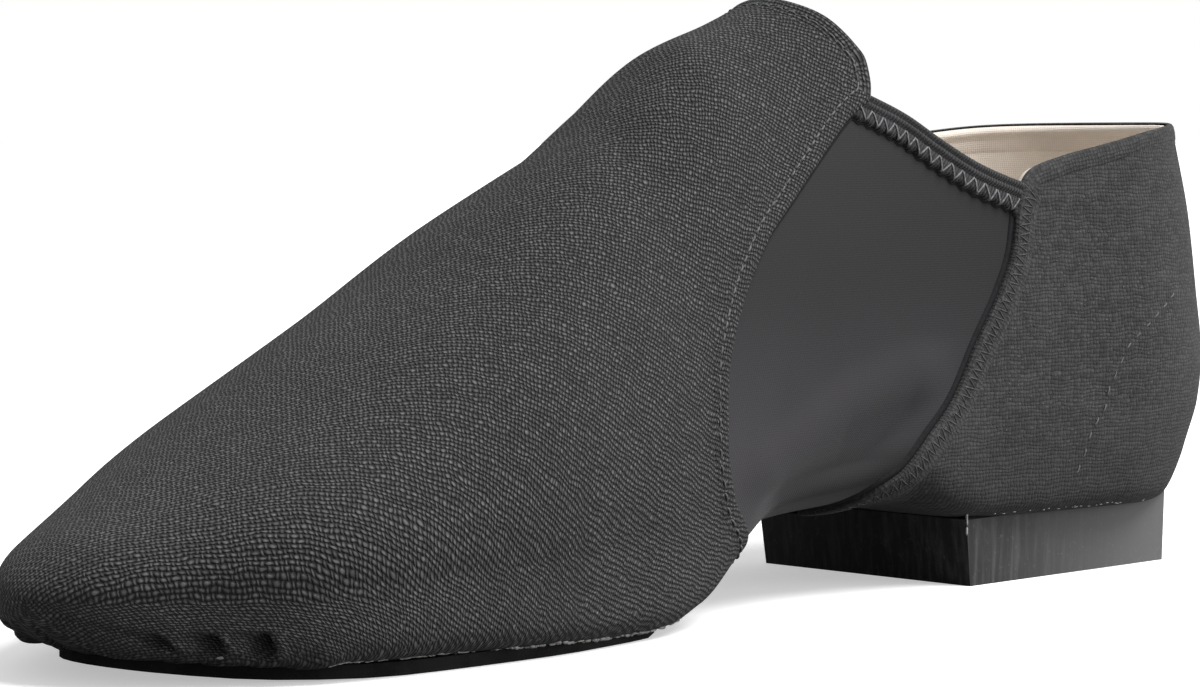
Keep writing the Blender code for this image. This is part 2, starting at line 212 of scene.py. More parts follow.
class ShoeSizes(bpy.types.PropertyGroup):
    """Sizes of the cloth, the hems and the stitching, and the strengths of the lights."""

    weave_pitch: length("Weave pitch", "From one canvas yarn to the next", 0.00080)
    hem_width: length("Vamp hem width", "Width of the fold along the vamp's rear edge", 0.0028)
    quarter_hem: length("Quarter hem width", "Width of the fold along the quarter's front edge", 0.0042)
    stitch_length: length("Stitch length", "From one stitch to the next", 0.0021)
    thread: length("Thread thickness", "Diameter of the sewing thread", 0.00036)
    zigzag_pitch: length("Zigzag pitch", "From one zigzag stitch to the next", 0.0025)
    vamp_lines: IntProperty(
        name="Vamp lines", description="Lines of the vamp's mesh from the toe to its edge", default=420
    )
    vamp_rows: IntProperty(
        name="Vamp rows", description="Places along each line of the vamp's mesh", default=225
    )
    key_light: strength("Key light", "Strength of the broad light from above and the side", 4.2)
    side_light: strength("Side light", "Power of the soft light beside the heel", 2.5)
    even_light: strength("Even light", "Strength of the light from all round", 0.42)



class ShoeColours(bpy.types.PropertyGroup):
    """Colours of the cloth, the threads, the sole and the heel."""

    yarn: colour("Canvas yarn", "Top of the canvas yarns", (0.080, 0.080, 0.082, 1.0))
    # Painted shade: the near black between the canvas yarns, also the colour of the painted shadow sheets.
    weave_gap: colour("Canvas gaps", "Between the canvas yarns", (0.006, 0.006, 0.007, 1.0))
    stretch: colour("Stretch fabric", "The side panels", (0.026, 0.024, 0.027, 1.0))
    binding: colour("Binding", "Knitted strip along the collar", (0.041, 0.041, 0.044, 1.0))
    thread: colour("Dark thread", "Seam stitches", (0.10, 0.10, 0.104, 1.0))
    pale_thread: colour("Pale thread", "Zigzag stitches", (0.15, 0.15, 0.158, 1.0))
    # Painted light: the lining is the same cotton as its rim, made paler to make up for the shade inside the
    # shoe.
    lining: colour("Lining", "Cotton inside the shoe", (0.92, 0.85, 0.77, 1.0))
    rim: colour("Lining rim", "Rolled top edge of the lining", (0.80, 0.72, 0.64, 1.0))
    suede: colour("Suede", "Forefoot sole", (0.012, 0.012, 0.012, 1.0))
    rubber: colour("Rubber", "Heel block", (0.055, 0.054, 0.055, 1.0))
    glue: colour("Glue", "Dried glue along the sole's edge", (0.42, 0.41, 0.40, 1.0))


def through(rows, columns, name, at):
    """The named column's value at a place along the table: smooth, and never past its own rows."""
    places = np.array([row[0] for row in rows])
    values = np.array([row[columns.index(name)] for row in rows])
    spans = np.diff(places)
    rises = np.diff(values) / spans
    slopes = np.zeros(len(values))
    slopes[0], slopes[-1] = rises[0], rises[-1]
    same_way = rises[:-1] * rises[1:] > 0
    before, after = np.where(same_way, rises[:-1], 1.0), np.where(same_way, rises[1:], 1.0)
    mean = (spans[:-1] + spans[1:]) / (spans[:-1] / before + spans[1:] / after)
    slopes[1:-1] = np.where(same_way, mean, 0.0)
    k = np.clip(np.searchsorted(places, at, side="right") - 1, 0, len(spans) - 1)
    u = (at - places[k]) / spans[k]
    start = values[k] * (1 + 2 * u) * (1 - u) ** 2 + slopes[k] * spans[k] * u * (1 - u) ** 2
    end = values[k + 1] * u * u * (3 - 2 * u) + slopes[k + 1] * spans[k] * u * u * (u - 1)
    return start + end


def last_value(name, at):
    return through(LAST, LAST_COLUMNS, name, at)


def round_end(distance, length):
    s = np.clip(distance / length, 0.0, 1.0)
    return np.sqrt(1.0 - (1.0 - s) ** 2)


def underside(at):
    lift = last_value("lift", at) * (HEEL_HEIGHT - SOLE_THICKNESS)
    return SOLE_THICKNESS + GAP + lift + last_value("spring", at) * TOE_SPRING


def ridge_slope(at):
    low, high = np.maximum(at - SLOPE_SPAN, 0.0), np.minimum(at + SLOPE_SPAN, 1.0)
    rise = underside(high) - underside(low)
    rise = rise + (last_value("ridge", high) - last_value("ridge", low)) * INSTEP_HEIGHT
    return rise / ((high - low) * SHOE_LENGTH)


def tuck_share(at):
    return np.clip((at - BACK_STARTS) / (1.0 - BACK_STARTS), 0.0, 1.0) ** BACK_EASE


def surface(at, angle, out=0.0):
    """Points of the last, moved out by this much, at shares of its length and at angles round each
    section: 0 at the widest level of the inner side, a quarter turn on the ridge, half a turn at
    the outer side. Not yet set on the frame's middle."""
    at, angle, out = np.broadcast_arrays(np.asarray(at, float), angle, out)
    length = SHOE_LENGTH + 2 * out
    plan = round_end(at * length, TOE_ROUND + out) * round_end((1.0 - at) * length, HEEL_ROUND + out)
    nose = round_end(at * length, TOE_NOSE + out)
    corner = (HEEL_CORNER + out) * (1.0 - round_end((1.0 - at) * length, HEEL_CORNER + out))
    base = underside(at)
    middle = base + last_value("widest", at) * INSTEP_HEIGHT
    above = (last_value("ridge", at) - last_value("widest", at)) * INSTEP_HEIGHT
    above = (above + out * np.hypot(1.0, ridge_slope(at))) * nose
    below = (middle - base + out) * nose - corner + through(DROP, DROP_COLUMNS, "drop", at)
    level, rise = np.cos(angle), np.sin(angle)
    top = rise >= 0
    power = np.where(top, last_value("crown", at), last_value("flat", at))
    radius = (np.abs(level) ** power + np.abs(rise) ** power) ** (-1.0 / power)
    wide, up = np.abs(level) * radius, np.abs(rise) * radius
    inner = (last_value("inner", at) * BALL_WIDTH + out) * plan
    outer = (last_value("outer", at) * BALL_WIDTH + out) * plan
    lean = last_value("lean", at) * RIDGE_LEAN * plan
    x = last_value("swing", at) * TOE_SWING + np.where(level >= 0, inner, -outer) * wide
    x = x + np.where(top, lean * up, 0.0)
    z = middle + np.where(top, above, -below) * up
    tuck = through(BACK, BACK_COLUMNS, "tuck", (z - base) / INSTEP_HEIGHT) * HEEL_TUCK
    y = (at - 0.5) * length - tuck * tuck_share(at)
    return np.stack([x, y, z], axis=-1)


def find_middle():
    """The middle (x, y) of the last seen from above, on the same stations as the solids."""
    toe_end, heel_start = TOE_ROUND / SHOE_LENGTH, 1.0 - HEEL_ROUND / SHOE_LENGTH
    quarter = 1.0 - np.cos(np.linspace(0, math.pi / 2, 11))
    places = np.concatenate(
        [toe_end * quarter, np.linspace(toe_end, heel_start, 21), 1.0 - (1.0 - heel_start) * quarter]
    )
    around = np.concatenate([np.arange(26) * math.pi / 26, math.pi + np.arange(18) * math.pi / 18])
    plan = surface(places[:, None], around[None, :]).reshape(-1, 3)[:, :2]
    return (plan.max(axis=0) + plan.min(axis=0)) / 2


MIDDLE = np.array([*find_middle(), 0.0])


def on_last(at, angle, out=0.0):
    """Points of the last's surface in the frame."""
    return surface(at, angle, out) - MIDDLE


def folded(angle):
    """The same height's angle on the inner side."""
    return np.where(angle > math.pi / 2, math.pi - angle, angle)


def seen_from_side(at, angle):
    """Where a point of the last lies in the side view: a share of the length, and a height above the
    underside as a share of the instep height."""
    place = surface(at, angle)
    share = place[..., 1] / SHOE_LENGTH + 0.5
    return share, (place[..., 2] - underside(np.clip(share, 0.0, 1.0))) / INSTEP_HEIGHT


def edge_curve(rows, count=400):
    """Shares and heights along an edge of the side view, smooth through its rows."""
    numbered = [(k, *row) for k, row in enumerate(rows)]
    steps = np.linspace(0, len(rows) - 1, count)
    return tuple(through(numbered, EDGE_COLUMNS, name, steps) for name in ("at", "height"))


VAMP_AT, VAMP_HEIGHT = (
    np.concatenate(pair) for pair in zip(edge_curve(VAMP_EDGE), edge_curve(TONGUE_EDGE))
)
QUARTER_AT, QUARTER_HEIGHT = edge_curve(QUARTER_EDGE)
COLLAR_AT, COLLAR_HEIGHT = (
    np.concatenate(pair) for pair in zip(edge_curve(PANEL_TOPLINE), edge_curve(QUARTER_TOPLINE))
)


def crossing(function, low, high):
    """Where a rising function passes zero between two arrays of bounds."""
    for _ in range(40):
        middle = (low + high) / 2
        above = function(middle) > 0
        low, high = np.where(above, low, middle), np.where(above, middle, high)
    return (low + high) / 2


def edge_reach(shares, heights, low, high):
    """Share of the length at which an edge of the side view crosses each folded angle."""

    def past(at):
        share, height = seen_from_side(at, FOLDED)
        return share - np.interp(height, heights, shares)

    return crossing(past, np.full(FOLDED.shape, low), np.full(FOLDED.shape, high))


def angle_of(at, wanted):
    """Angle on the inner side at which a section has this height of the side view, a function of share."""
    at = np.asarray(at, float)

    def past(angle):
        share, height = seen_from_side(at, angle)
        return height - wanted(share)

    return crossing(past, np.full(at.shape, -math.pi / 2), np.full(at.shape, math.pi / 2))


def collar_height(share):
    return np.interp(share, COLLAR_AT, COLLAR_HEIGHT)


def corner_angle(corner):
    share, height = corner
    return float(angle_of(np.array([share]), lambda e: height + 0 * e)[0])


TONGUE_ANGLE = corner_angle(TONGUE_CORNER)
QUARTER_ANGLE = corner_angle(QUARTER_CORNER)


def unit(vectors):
    return vectors / np.maximum(np.linalg.norm(vectors, axis=-1, keepdims=True), 1e-12)


def lengths_along(points):
    """Distance from the first point to each point of a line."""
    return np.concatenate([[0.0], np.cumsum(np.linalg.norm(np.diff(points, axis=0), axis=1))])


def evenly(values, points, count, weight=None):
    """The values at places evenly spread along the line of points. A weight under 1 spreads them wider."""
    steps = np.linalg.norm(np.diff(points, axis=0), axis=1)
    if weight is not None:
        steps = steps * (weight[1:] + weight[:-1]) / 2
    along = np.concatenate([[0.0], np.cumsum(steps)])
    return np.interp(np.linspace(0, along[-1], count), along, values)


def soft_step(value, low, high):
    s = np.clip((value - low) / (high - low), 0.0, 1.0)
    return s * s * (3 - 2 * s)


def bump(distance, width):
    """1 at the middle and 0 from half of this width on, rounded."""
    return 0.5 + 0.5 * np.cos(np.pi * np.clip(2 * distance / width, -1.0, 1.0))


def seam_frame(at, angle, onto_left=True):
    """Along a seam on the last: its points, the direction square to it on the surface, to the left when
    seen from outside or else to the right, and the outward normal."""
    step = 1e-4
    points = on_last(at, angle)
    by_at = on_last(at + step, angle) - on_last(at - step, angle)
    by_angle = on_last(at, angle + step) - on_last(at, angle - step)
    normal = unit(np.cross(by_at, by_angle))
    left = unit(np.cross(normal, unit(np.gradient(points, axis=0))))
    return points, (left if onto_left else -left), normal


def grid_faces(rows, columns, closed=False):
    """Quads of a grid of points numbered row by row. Closed joins the last column to the first."""
    r = np.arange(rows - 1)[:, None]
    c = np.arange(columns if closed else columns - 1)[None, :]
    n = (c + 1) % columns
    quads = [r * columns + c, r * columns + n, (r + 1) * columns + n, (r + 1) * columns + c]
    return np.stack(np.broadcast_arrays(*quads), axis=-1).reshape(-1, 4)


def piece_from(name, points, faces, material, flat=None, outward=None):
    """A mesh piece that rides with the shoe. "flat" is the cloth's own plane, in metres, and "outward"
    a direction for each point that its faces turn to."""
    points = np.asarray(points, float).reshape(-1, 3)
    faces = [list(map(int, face)) for face in faces]
    if outward is not None:
        a, b, c = (points[[face[k] for face in faces]] for k in range(3))
        facing = (np.cross(b - a, c - a) * np.asarray(outward).reshape(-1, 3)[[f[0] for f in faces]]).sum()
        if facing < 0:
            faces = [face[::-1] for face in faces]
    mesh = bpy.data.meshes.new(name)
    mesh.from_pydata(points.tolist(), [], faces)
    if flat is not None:
        layer = mesh.uv_layers.new(name="cloth")
        corners = np.empty(len(mesh.loops), np.int32)
        mesh.loops.foreach_get("vertex_index", corners)
        layer.data.foreach_set("uv", np.asarray(flat, float).reshape(-1, 2)[corners].ravel())
    mesh.materials.append(material)
    mesh.shade_smooth()
    piece = bpy.data.objects.new(name, mesh)
    bpy.context.scene.collection.objects.link(piece)
    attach(piece, "root")
    return piece


def strip_along(points, left, normal, profile):
    """A band along a seam whose section is a row of (distance to the left, height)."""
    profile = np.asarray(profile, float)
    across, high = profile[..., 0], profile[..., 1]
    if profile.ndim == 2:
        across, high = across[None, :], high[None, :]
    return points[:, None, :] + left[:, None, :] * across[..., None] + normal[:, None, :] * high[..., None]


def strip_flat(rows):
    """The flat cloth of a band: distance along it and across it."""
    along = lengths_along(rows[:, 0])[:, None]
    steps = np.linalg.norm(np.diff(rows, axis=1), axis=-1)
    across = np.concatenate([np.zeros((len(rows), 1)), np.cumsum(steps, axis=1)], axis=1)
    return np.stack(np.broadcast_arrays(along, across), axis=-1)


def tubes(name, runs, normals, radius, material, sides=6):
    """Threads: round tubes along many short runs of as many points each, joined as one piece."""
    runs, normals = np.asarray(runs, float), np.asarray(normals, float)
    count, steps = runs.shape[:2]
    radius = np.broadcast_to(radius, (count, steps))
    along = unit(np.gradient(runs, axis=1))
    up = unit(normals - (normals * along).sum(-1, keepdims=True) * along)
    side = np.cross(along, up)
    turn = np.arange(sides) * 2 * np.pi / sides
    ring = up[:, :, None] * np.cos(turn)[:, None] + side[:, :, None] * np.sin(turn)[:, None]
    points = runs[:, :, None] + ring * radius[:, :, None, None]
    one = grid_faces(steps, sides, closed=True)
    starts = np.arange(count) * steps * sides
    faces = (starts[:, None, None] + one).reshape(-1, 4).tolist()
    for start in starts:
        faces.append([int(start + k) for k in range(sides)][::-1])
        faces.append([int(start + (steps - 1) * sides + k) for k in range(sides)])
    return piece_from(name, points, faces, material)


# Places along the last for the tables of the cloth's lengths, closer together at both ends.
TABLE_AT = 0.5 - 0.5 * np.cos(np.linspace(0, math.pi, 321))
SIDE_LENGTHS = lengths_along(on_last(TABLE_AT, 0.0))

# Angles of the inner side from the underside's middle up to the ridge, and the seams' shares there.
FOLDED = np.linspace(-math.pi / 2, math.pi / 2, 1200)
VAMP_REACH = edge_reach(VAMP_AT, VAMP_HEIGHT, 0.40, 0.70)
QUARTER_REACH = edge_reach(QUARTER_AT, QUARTER_HEIGHT, 0.50, 0.80)

# The forefoot's cloth is cut on the bias. Its planes fan out from a line across the shoe below the
# floor, and behind that line they stand upright. Over the tip the cloth is drawn down.
WEAVE_BIAS = math.radians(45)
FAN_Y, FAN_Z = -0.055, -0.065
UPRIGHT_TURN = 10.0
RIDGE_TABLE_END = 0.75
TIP_PULL = 1.3
TIP_ENDS = (-0.115, -0.080)


def fan_turn(y, z):
    """Turn of the plane through a place, from lying forward to standing up, then on by length."""
    upright = np.maximum(y - FAN_Y, 0.0) * UPRIGHT_TURN
    return np.arctan2(z - FAN_Z, np.maximum(FAN_Y - y, 0.0)) + upright


def fan_reach(y, z):
    """How far a place lies from the fan's line along its plane."""
    return np.where(y < FAN_Y, np.hypot(y - FAN_Y, z - FAN_Z), z - FAN_Z)


def make_ridge_table():
    """Along the ridge: each plane's turn, the distance from the toe, the reach and the side place."""
    ridge = on_last(TABLE_AT[TABLE_AT < RIDGE_TABLE_END], math.pi / 2)
    turn, reach = fan_turn(ridge[:, 1], ridge[:, 2]), fan_reach(ridge[:, 1], ridge[:, 2])
    order = np.argsort(turn)
    return turn[order], lengths_along(ridge)[order], reach[order], ridge[order, 0]


RIDGE_TABLE = make_ridge_table()
POLE_HEIGHT = float(on_last(0.0, math.pi / 2)[2])


def cloth_over_toe(points):
    """Flat cloth laid over the forefoot: round each plane's section from the ridge, and along the
    ridge, turned onto the bias."""
    x, y, z = points[..., 0], points[..., 1], points[..., 2]
    turn, along, reach, middle = RIDGE_TABLE
    place = fan_turn(y, z)
    off = x - np.interp(place, turn, middle)
    deep = np.maximum(np.interp(place, turn, reach) - fan_reach(y, z), 1e-6)
    radius = (off * off + deep * deep) / (2 * deep)
    round_it = radius * np.arccos(np.clip(1 - deep / radius, -1, 1))
    tip = np.maximum(POLE_HEIGHT - z, 0.0) * TIP_PULL * (1 - soft_step(y, *TIP_ENDS))
    across, up = np.sign(off) * round_it, np.interp(place, turn, along) - tip
    level, rise = math.cos(WEAVE_BIAS), math.sin(WEAVE_BIAS)
    return np.stack([across * level + up * rise, up * level - across * rise], axis=-1)


def cloth_round_heel(at, angle):
    """Flat cloth laid round the heel: forward along the side, and up it."""
    points = on_last(at, angle)
    along = SIDE_LENGTHS[-1] - np.interp(at, TABLE_AT, SIDE_LENGTHS)
    below = soft_step(-np.sin(angle), 0.72, 0.90)
    up = points[..., 2] + below * (np.abs(points[..., 0]) - BALL_WIDTH * 0.3)
    return np.stack([along, up], axis=-1)


# The meshes are coarser on the underside: this share of the points that the sides have.
UNDER_SHARE = 0.4


def under_weight(angle):
    return 1 - (1 - UNDER_SHARE) * soft_step(-np.sin(angle), 0.72, 0.85)


def spread_rows(at, angle, rows, crowd=1.0):
    """Each line of a fine grid (lines by places) laid out again with evenly spread points. A crowd
    over 1 brings them closer together at its start."""
    points = on_last(at, angle)
    steps = np.linalg.norm(np.diff(points, axis=1), axis=-1)
    along = np.concatenate([np.zeros((len(at), 1)), np.cumsum(steps, axis=1)], axis=1)
    wanted = np.linspace(0, 1, rows)[None, :] ** crowd * along[:, -1:]
    new_at, new_angle = np.empty((len(at), rows)), np.empty((len(at), rows))
    for k in range(len(at)):
        new_at[k] = np.interp(wanted[k], along[k], at[k])
        new_angle[k] = np.interp(wanted[k], along[k], angle[k])
    return new_at, new_angle


TOE_CROWD = 1.25
TOE_RING = 0.12


def toe_to_edge(lines, rows):
    """Shares and angles of the vamp, on lines from the toe's tip to the rear edge."""
    around = np.linspace(-math.pi / 2, 3 * math.pi / 2, 4000)
    weight = under_weight(around)
    reach = np.interp(folded(around), FOLDED, VAMP_REACH)
    edge = evenly(around, on_last(reach, around), lines, weight)
    start = evenly(around, on_last(TOE_RING, around), lines, weight)
    f = 1 - np.cos(np.linspace(0, math.pi / 2, 500))
    at = np.interp(folded(edge), FOLDED, VAMP_REACH)[:, None] * f
    angle = start[:, None] + (edge - start)[:, None] * (f * f * (3 - 2 * f))
    return spread_rows(at, angle, rows, TOE_CROWD)


def collar_table(front):
    """Shares from this corner back to the heel, and the topline's angle there on the inner side."""
    places = np.linspace(front, 1.0, 700)
    return places, angle_of(places, collar_height)


def edge_to_heel(reach, collar, columns, rows):
    """Shares and angles behind an edge: columns from the inner topline down, across the underside and
    up to the outer topline, each running back to the heel."""
    fine = np.linspace(0, 1, 400)
    depth = -math.pi / 2 + fine * (collar[1][0] + math.pi / 2)
    start = np.interp(depth, FOLDED, reach)
    edge = on_last(np.maximum(start, collar[0][0]), depth)
    share = evenly(fine, edge, columns, under_weight(depth))[:, None]
    run = np.sin(np.linspace(0, math.pi / 2, 400))[None, :]

    def angles(at):
        return -math.pi / 2 + share * (np.interp(at, *collar) + math.pi / 2)

    def past(at):
        first = np.interp(angles(at), FOLDED, reach)
        return at - first - (1 - first) * run

    at = crossing(past, np.full((columns, 400), 0.40), np.full((columns, 400), 1.0))
    at, angle = spread_rows(at, angles(at), rows)
    return np.concatenate([at[::-1], at[1:]]), np.concatenate([angle[::-1], math.pi - angle[1:]])


COLLAR = collar_table(TONGUE_CORNER[0])
QUARTER_COLLAR = collar_table(QUARTER_CORNER[0])
FRONT_SLOPE = (COLLAR[1][0] - COLLAR[1][30]) / (COLLAR[0][30] - COLLAR[0][0])


FLOAT, VECTOR = "NodeSocketFloat", "NodeSocketVector"


class Wiring:
    """Adds nodes to a tree. A plain value is set on the socket, a socket is linked to it."""

    def __init__(self, tree):
        self.tree = tree

    def put(self, target, value):
        if isinstance(value, bpy.types.NodeSocket):
            self.tree.links.new(value, target)
        elif value is not None:
            target.default_value = value

    def add(self, kind, **settings):
        node = self.tree.nodes.new(kind)
        for key, value in settings.items():
            setattr(node, key, value)
        return node

    def fed(self, kind, values, output=0, **settings):
        """The output of a new node whose inputs take these values in order."""
        node = self.add(kind, **settings)
        for socket, value in zip(node.inputs, values):
            self.put(socket, value)
        return node.outputs[output]

    def math(self, operation, *values):
        return self.fed("ShaderNodeMath", values, operation=operation)

    def plus(self, first, second):
        return self.math("ADD", first, second)

    def minus(self, first, second):
        return self.math("SUBTRACT", first, second)

    def times(self, first, second):
        return self.math("MULTIPLY", first, second)

    def over(self, first, second):
        return self.math("DIVIDE", first, second)

    def span(self, value, low, high, to_low=0.0, to_high=1.0):
        """The value's place between two levels, clamped and eased, on a new range."""
        given = (value, low, high, to_low, to_high)
        return self.fed("ShaderNodeMapRange", given, interpolation_type="SMOOTHSTEP")

    def mix(self, share, first, second):
        """Two colours mixed. They are the seventh and eighth inputs of the node."""
        return self.fed("ShaderNodeMix", (share, *[None] * 5, first, second), 2, data_type="RGBA")

    def blend(self, share, first, second):
        """Two values mixed. They are the third and fourth inputs of the node."""
        return self.fed("ShaderNodeMix", (share, None, first, second), data_type="FLOAT")

    def noise(self, vector, scale, detail=2.0, rough=0.5):
        node = self.add("ShaderNodeTexNoise")
        given = {"Vector": vector, "Scale": scale, "Detail": detail, "Roughness": rough}
        for label, value in given.items():
            self.put(node.inputs[label], value)
        return node.outputs["Fac"]

    def random(self, given, dimensions="2D"):
        node = self.add("ShaderNodeTexWhiteNoise", noise_dimensions=dimensions)
        self.put(node.inputs["W" if dimensions == "1D" else "Vector"], given)
        return node.outputs["Value"]

    def stretched(self, vector, scale):
        return self.fed("ShaderNodeVectorMath", (vector, scale), operation="MULTIPLY")

    def split(self, vector):
        node = self.add("ShaderNodeSeparateXYZ")
        self.put(node.inputs[0], vector)
        return node.outputs[:3]

    def joined(self, x, y, z=0.0):
        return self.fed("ShaderNodeCombineXYZ", (x, y, z))


def shared_group(name, inputs, outputs):
    """Turns a function that wires a shader group up into one that gives the group, made only once.
    Inputs are (name, kind, default), and all outputs are plain values."""

    def wrap(wire):
        def find():
            if name not in bpy.data.node_groups:
                group = bpy.data.node_groups.new(name, "ShaderNodeTree")
                for label, kind, default in inputs:
                    socket = group.interface.new_socket(name=label, in_out="INPUT", socket_type=kind)
                    if default is not None:
                        socket.default_value = default
                for label in outputs:
                    group.interface.new_socket(name=label, in_out="OUTPUT", socket_type=FLOAT)
                w = Wiring(group)
                wire(w, w.add("NodeGroupInput").outputs, w.add("NodeGroupOutput").inputs)
            return bpy.data.node_groups[name]

        return find

    return wrap


@shared_group(
    "Woven cloth",
    (
        ("Cloth", VECTOR, None),
        ("Across pitch", FLOAT, 0.00078),
        ("Along pitch", FLOAT, 0.00062),
        ("Weft lead", FLOAT, 0.22),
        ("Waver", FLOAT, 0.2),
    ),
    ("Height", "Gap", "Crown", "Shade", "Fleck"),
)
def woven_group(w, given, made):
    """Plain weave: bumps of crossing yarns, masks for painted shade in the gaps between them, a random tone
    for each yarn, and flecks of fibre on the yarns' tops for painted glints."""
    u, v, _ = w.split(given["Cloth"])

    def count(value, pitch, waver_scale):
        """A count of yarns across the cloth, wavering a little."""
        waver = w.noise(w.stretched(given["Cloth"], waver_scale), 1.0, 3.0)
        return w.plus(w.over(value, pitch), w.times(w.minus(waver, 0.5), w.times(given["Waver"], 6.0)))

    def wave(along, other):
        return w.math("COSINE", w.times(w.plus(w.minus(along, 0.5), other), math.pi))

    def side(off, steepness, seed):
        """How a yarn's top falls off to its sides, thicker or thinner from yarn to yarn."""
        size = w.plus(0.85, w.times(w.random(seed, "1D"), 0.35))
        return w.times(w.times(off, off), w.over(steepness, size))

    p = count(u, given["Across pitch"], (260.0, 260.0, 0.0))
    q = count(v, given["Along pitch"], (190.0, 310.0, 7.0))
    i, j = w.math("FLOOR", p), w.math("FLOOR", q)
    off_p, off_q = w.minus(w.minus(p, i), 0.5), w.minus(w.minus(q, j), 0.5)
    weft_top = w.plus(w.minus(w.times(wave(p, j), 0.75), side(off_q, 6.2, j)), given["Weft lead"])
    warp_top = w.minus(w.times(wave(q, i), -0.75), side(off_p, 8.5, w.plus(i, 71.3)))
    top = w.math("MAXIMUM", weft_top, warp_top)
    w.put(made["Height"], w.span(top, -0.9, 1.05))
    # Masks for painted shade: in the gaps between the yarns, and off the yarns' crowns.
    w.put(made["Gap"], w.span(top, 0.28, -0.30))
    w.put(made["Crown"], w.span(top, -0.05, 1.05))
    is_weft = w.math("GREATER_THAN", weft_top, warp_top)
    weft_shade = w.random(w.joined(j, w.math("FLOOR", w.times(w.plus(p, j), 0.5))))
    warp_shade = w.random(w.joined(i, w.plus(41.7, w.math("FLOOR", w.times(q, 0.5)))))
    shade = w.blend(is_weft, warp_shade, weft_shade)
    long_run = w.noise(w.joined(w.times(u, 90.0), w.times(j, 3.7)), 1.0, 2.0)
    w.put(made["Shade"], w.plus(w.times(shade, 0.55), w.times(long_run, 0.45)))
    # Painted glints: pale flecks of fibre on the yarns' tops.
    fibre = w.noise(w.stretched(given["Cloth"], (2100.0, 5200.0, 0.0)), 1.0, 2.0, 0.6)
    w.put(made["Fleck"], w.times(w.span(fibre, 0.56, 0.72), w.span(top, 0.0, 0.8)))


@shared_group(
    "Fuzz",
    (("Place", VECTOR, None), ("Size", FLOAT, 0.0004), ("Stretch", FLOAT, 2.5)),
    ("Height", "Fibre", "Mottle"),
)
def fuzz_group(w, given, made):
    """Short loose fibres and a mottled nap over knitted tape and suede."""
    x, y, z = w.split(given["Place"])
    per = w.over(1.0, given["Size"])
    long_way = w.over(per, given["Stretch"])
    fine = w.noise(w.joined(w.times(x, long_way), w.times(y, per), w.times(z, per)), 1.0, 4.0, 0.65)
    other = w.noise(w.joined(w.times(x, per), w.times(y, long_way), w.times(z, per)), 0.8, 3.0, 0.6)
    w.put(made["Height"], w.times(w.plus(fine, other), 0.5))
    w.put(made["Fibre"], w.math("MAXIMUM", w.span(fine, 0.58, 0.72), w.span(other, 0.62, 0.74)))
    w.put(made["Mottle"], w.noise(given["Place"], 160.0, 3.0, 0.55))


@shared_group(
    "Fine ribs",
    (("Across", FLOAT, 0.0), ("Along", FLOAT, 0.0), ("Pitch", FLOAT, 0.0006), ("Waver", FLOAT, 0.25)),
    ("Height",),
)
def ribs_group(w, given, made):
    """Fine uneven ribs across a direction, such as a twill's or a knit's."""
    place = w.joined(w.times(given["Across"], 420.0), w.times(given["Along"], 150.0))
    waver = w.times(w.minus(w.noise(place, 1.0, 3.0), 0.5), given["Waver"])
    count = w.plus(w.over(given["Across"], given["Pitch"]), w.times(waver, 4.0))
    w.put(made["Height"], w.plus(0.5, w.times(w.math("COSINE", w.times(count, 2 * math.pi)), 0.5)))


@shared_group(
    "Wear",
    (("Place", VECTOR, None), ("Dust top", FLOAT, 0.012), ("Size", FLOAT, 0.02)),
    ("Dust", "Rubbed"),
)
def wear_group(w, given, made):
    """Handling marks: pale dust that gathers near the floor, and faint rubbed patches."""
    _, _, z = w.split(given["Place"])
    specks = w.span(w.noise(given["Place"], 900.0, 3.0, 0.7), 0.58, 0.76)
    w.put(made["Dust"], w.times(w.span(z, given["Dust top"], 0.0), specks))
    patches = w.noise(given["Place"], w.over(1.0, given["Size"]), 4.0, 0.6)
    w.put(made["Rubbed"], w.span(patches, 0.45, 0.75))


def use_group(w, group, **values):
    """The group's outputs, with its inputs given by their names, spaces written as underscores."""
    node = w.add("ShaderNodeGroup", node_tree=group)
    for label, value in values.items():
        w.put(node.inputs[label.replace("_", " ")], value)
    return node.outputs


def bumped(w, height, depth, strength):
    node = w.add("ShaderNodeBump")
    for label, value in (("Strength", strength), ("Distance", depth), ("Height", height)):
        w.put(node.inputs[label], value)
    return node.outputs[0]


def cloth_plane(w):
    return w.add("ShaderNodeUVMap", uv_map="cloth").outputs[0]


def own_space(w):
    return w.add("ShaderNodeTexCoord").outputs["Object"]


def scaled(value, by):
    """A colour made lighter or darker."""
    return (value[0] * by, value[1] * by, value[2] * by, 1.0)


def grey(level):
    return (level, level, level, 1.0)


def sizes():
    return bpy.context.scene.shoe_sizes


def made_once(maker):
    """Turns a function that wires a material up into one that gives the material, made on its first
    call. The function gets the wiring, the shader's sockets and the colours."""

    def find(*given):
        key = "_".join([maker.__name__, *map(str, given)])
        if key not in bpy.data.materials:
            material = bpy.data.materials.new(key)
            material.use_nodes = True
            nodes = material.node_tree.nodes
            shader = next(node for node in nodes if node.type == "BSDF_PRINCIPLED")
            maker(Wiring(material.node_tree), shader.inputs, bpy.context.scene.shoe_colours, *given)
        return bpy.data.materials[key]

    return find


def finish(w, shader, base, normal, roughness, specular, sheen=0.0, sheen_roughness=0.5):
    """Sets the shader's colour, normal and constants. Without a normal it stays smooth."""
    given = {
        "Base Color": base,
        "Normal": normal,
        "Roughness": roughness,
        "Specular IOR Level": specular,
        "Sheen Weight": sheen,
        "Sheen Roughness": sheen_roughness,
    }
    for label, value in given.items():
        w.put(shader[label], value)


# For each part in canvas: the yarns' pitches across and along as shares of the weave's pitch, their
# tone, how deep the weave stands, and how much of the painted shade in its gaps shows.
CANVAS = {
    "vamp": (1.0, 0.92, 1.0, 0.00040, 1.0),
    "quarter": (1.0, 0.86, 0.42, 0.00011, 0.32),
    "hem": (0.96, 0.92, 0.98, 0.00040, 1.0),
}


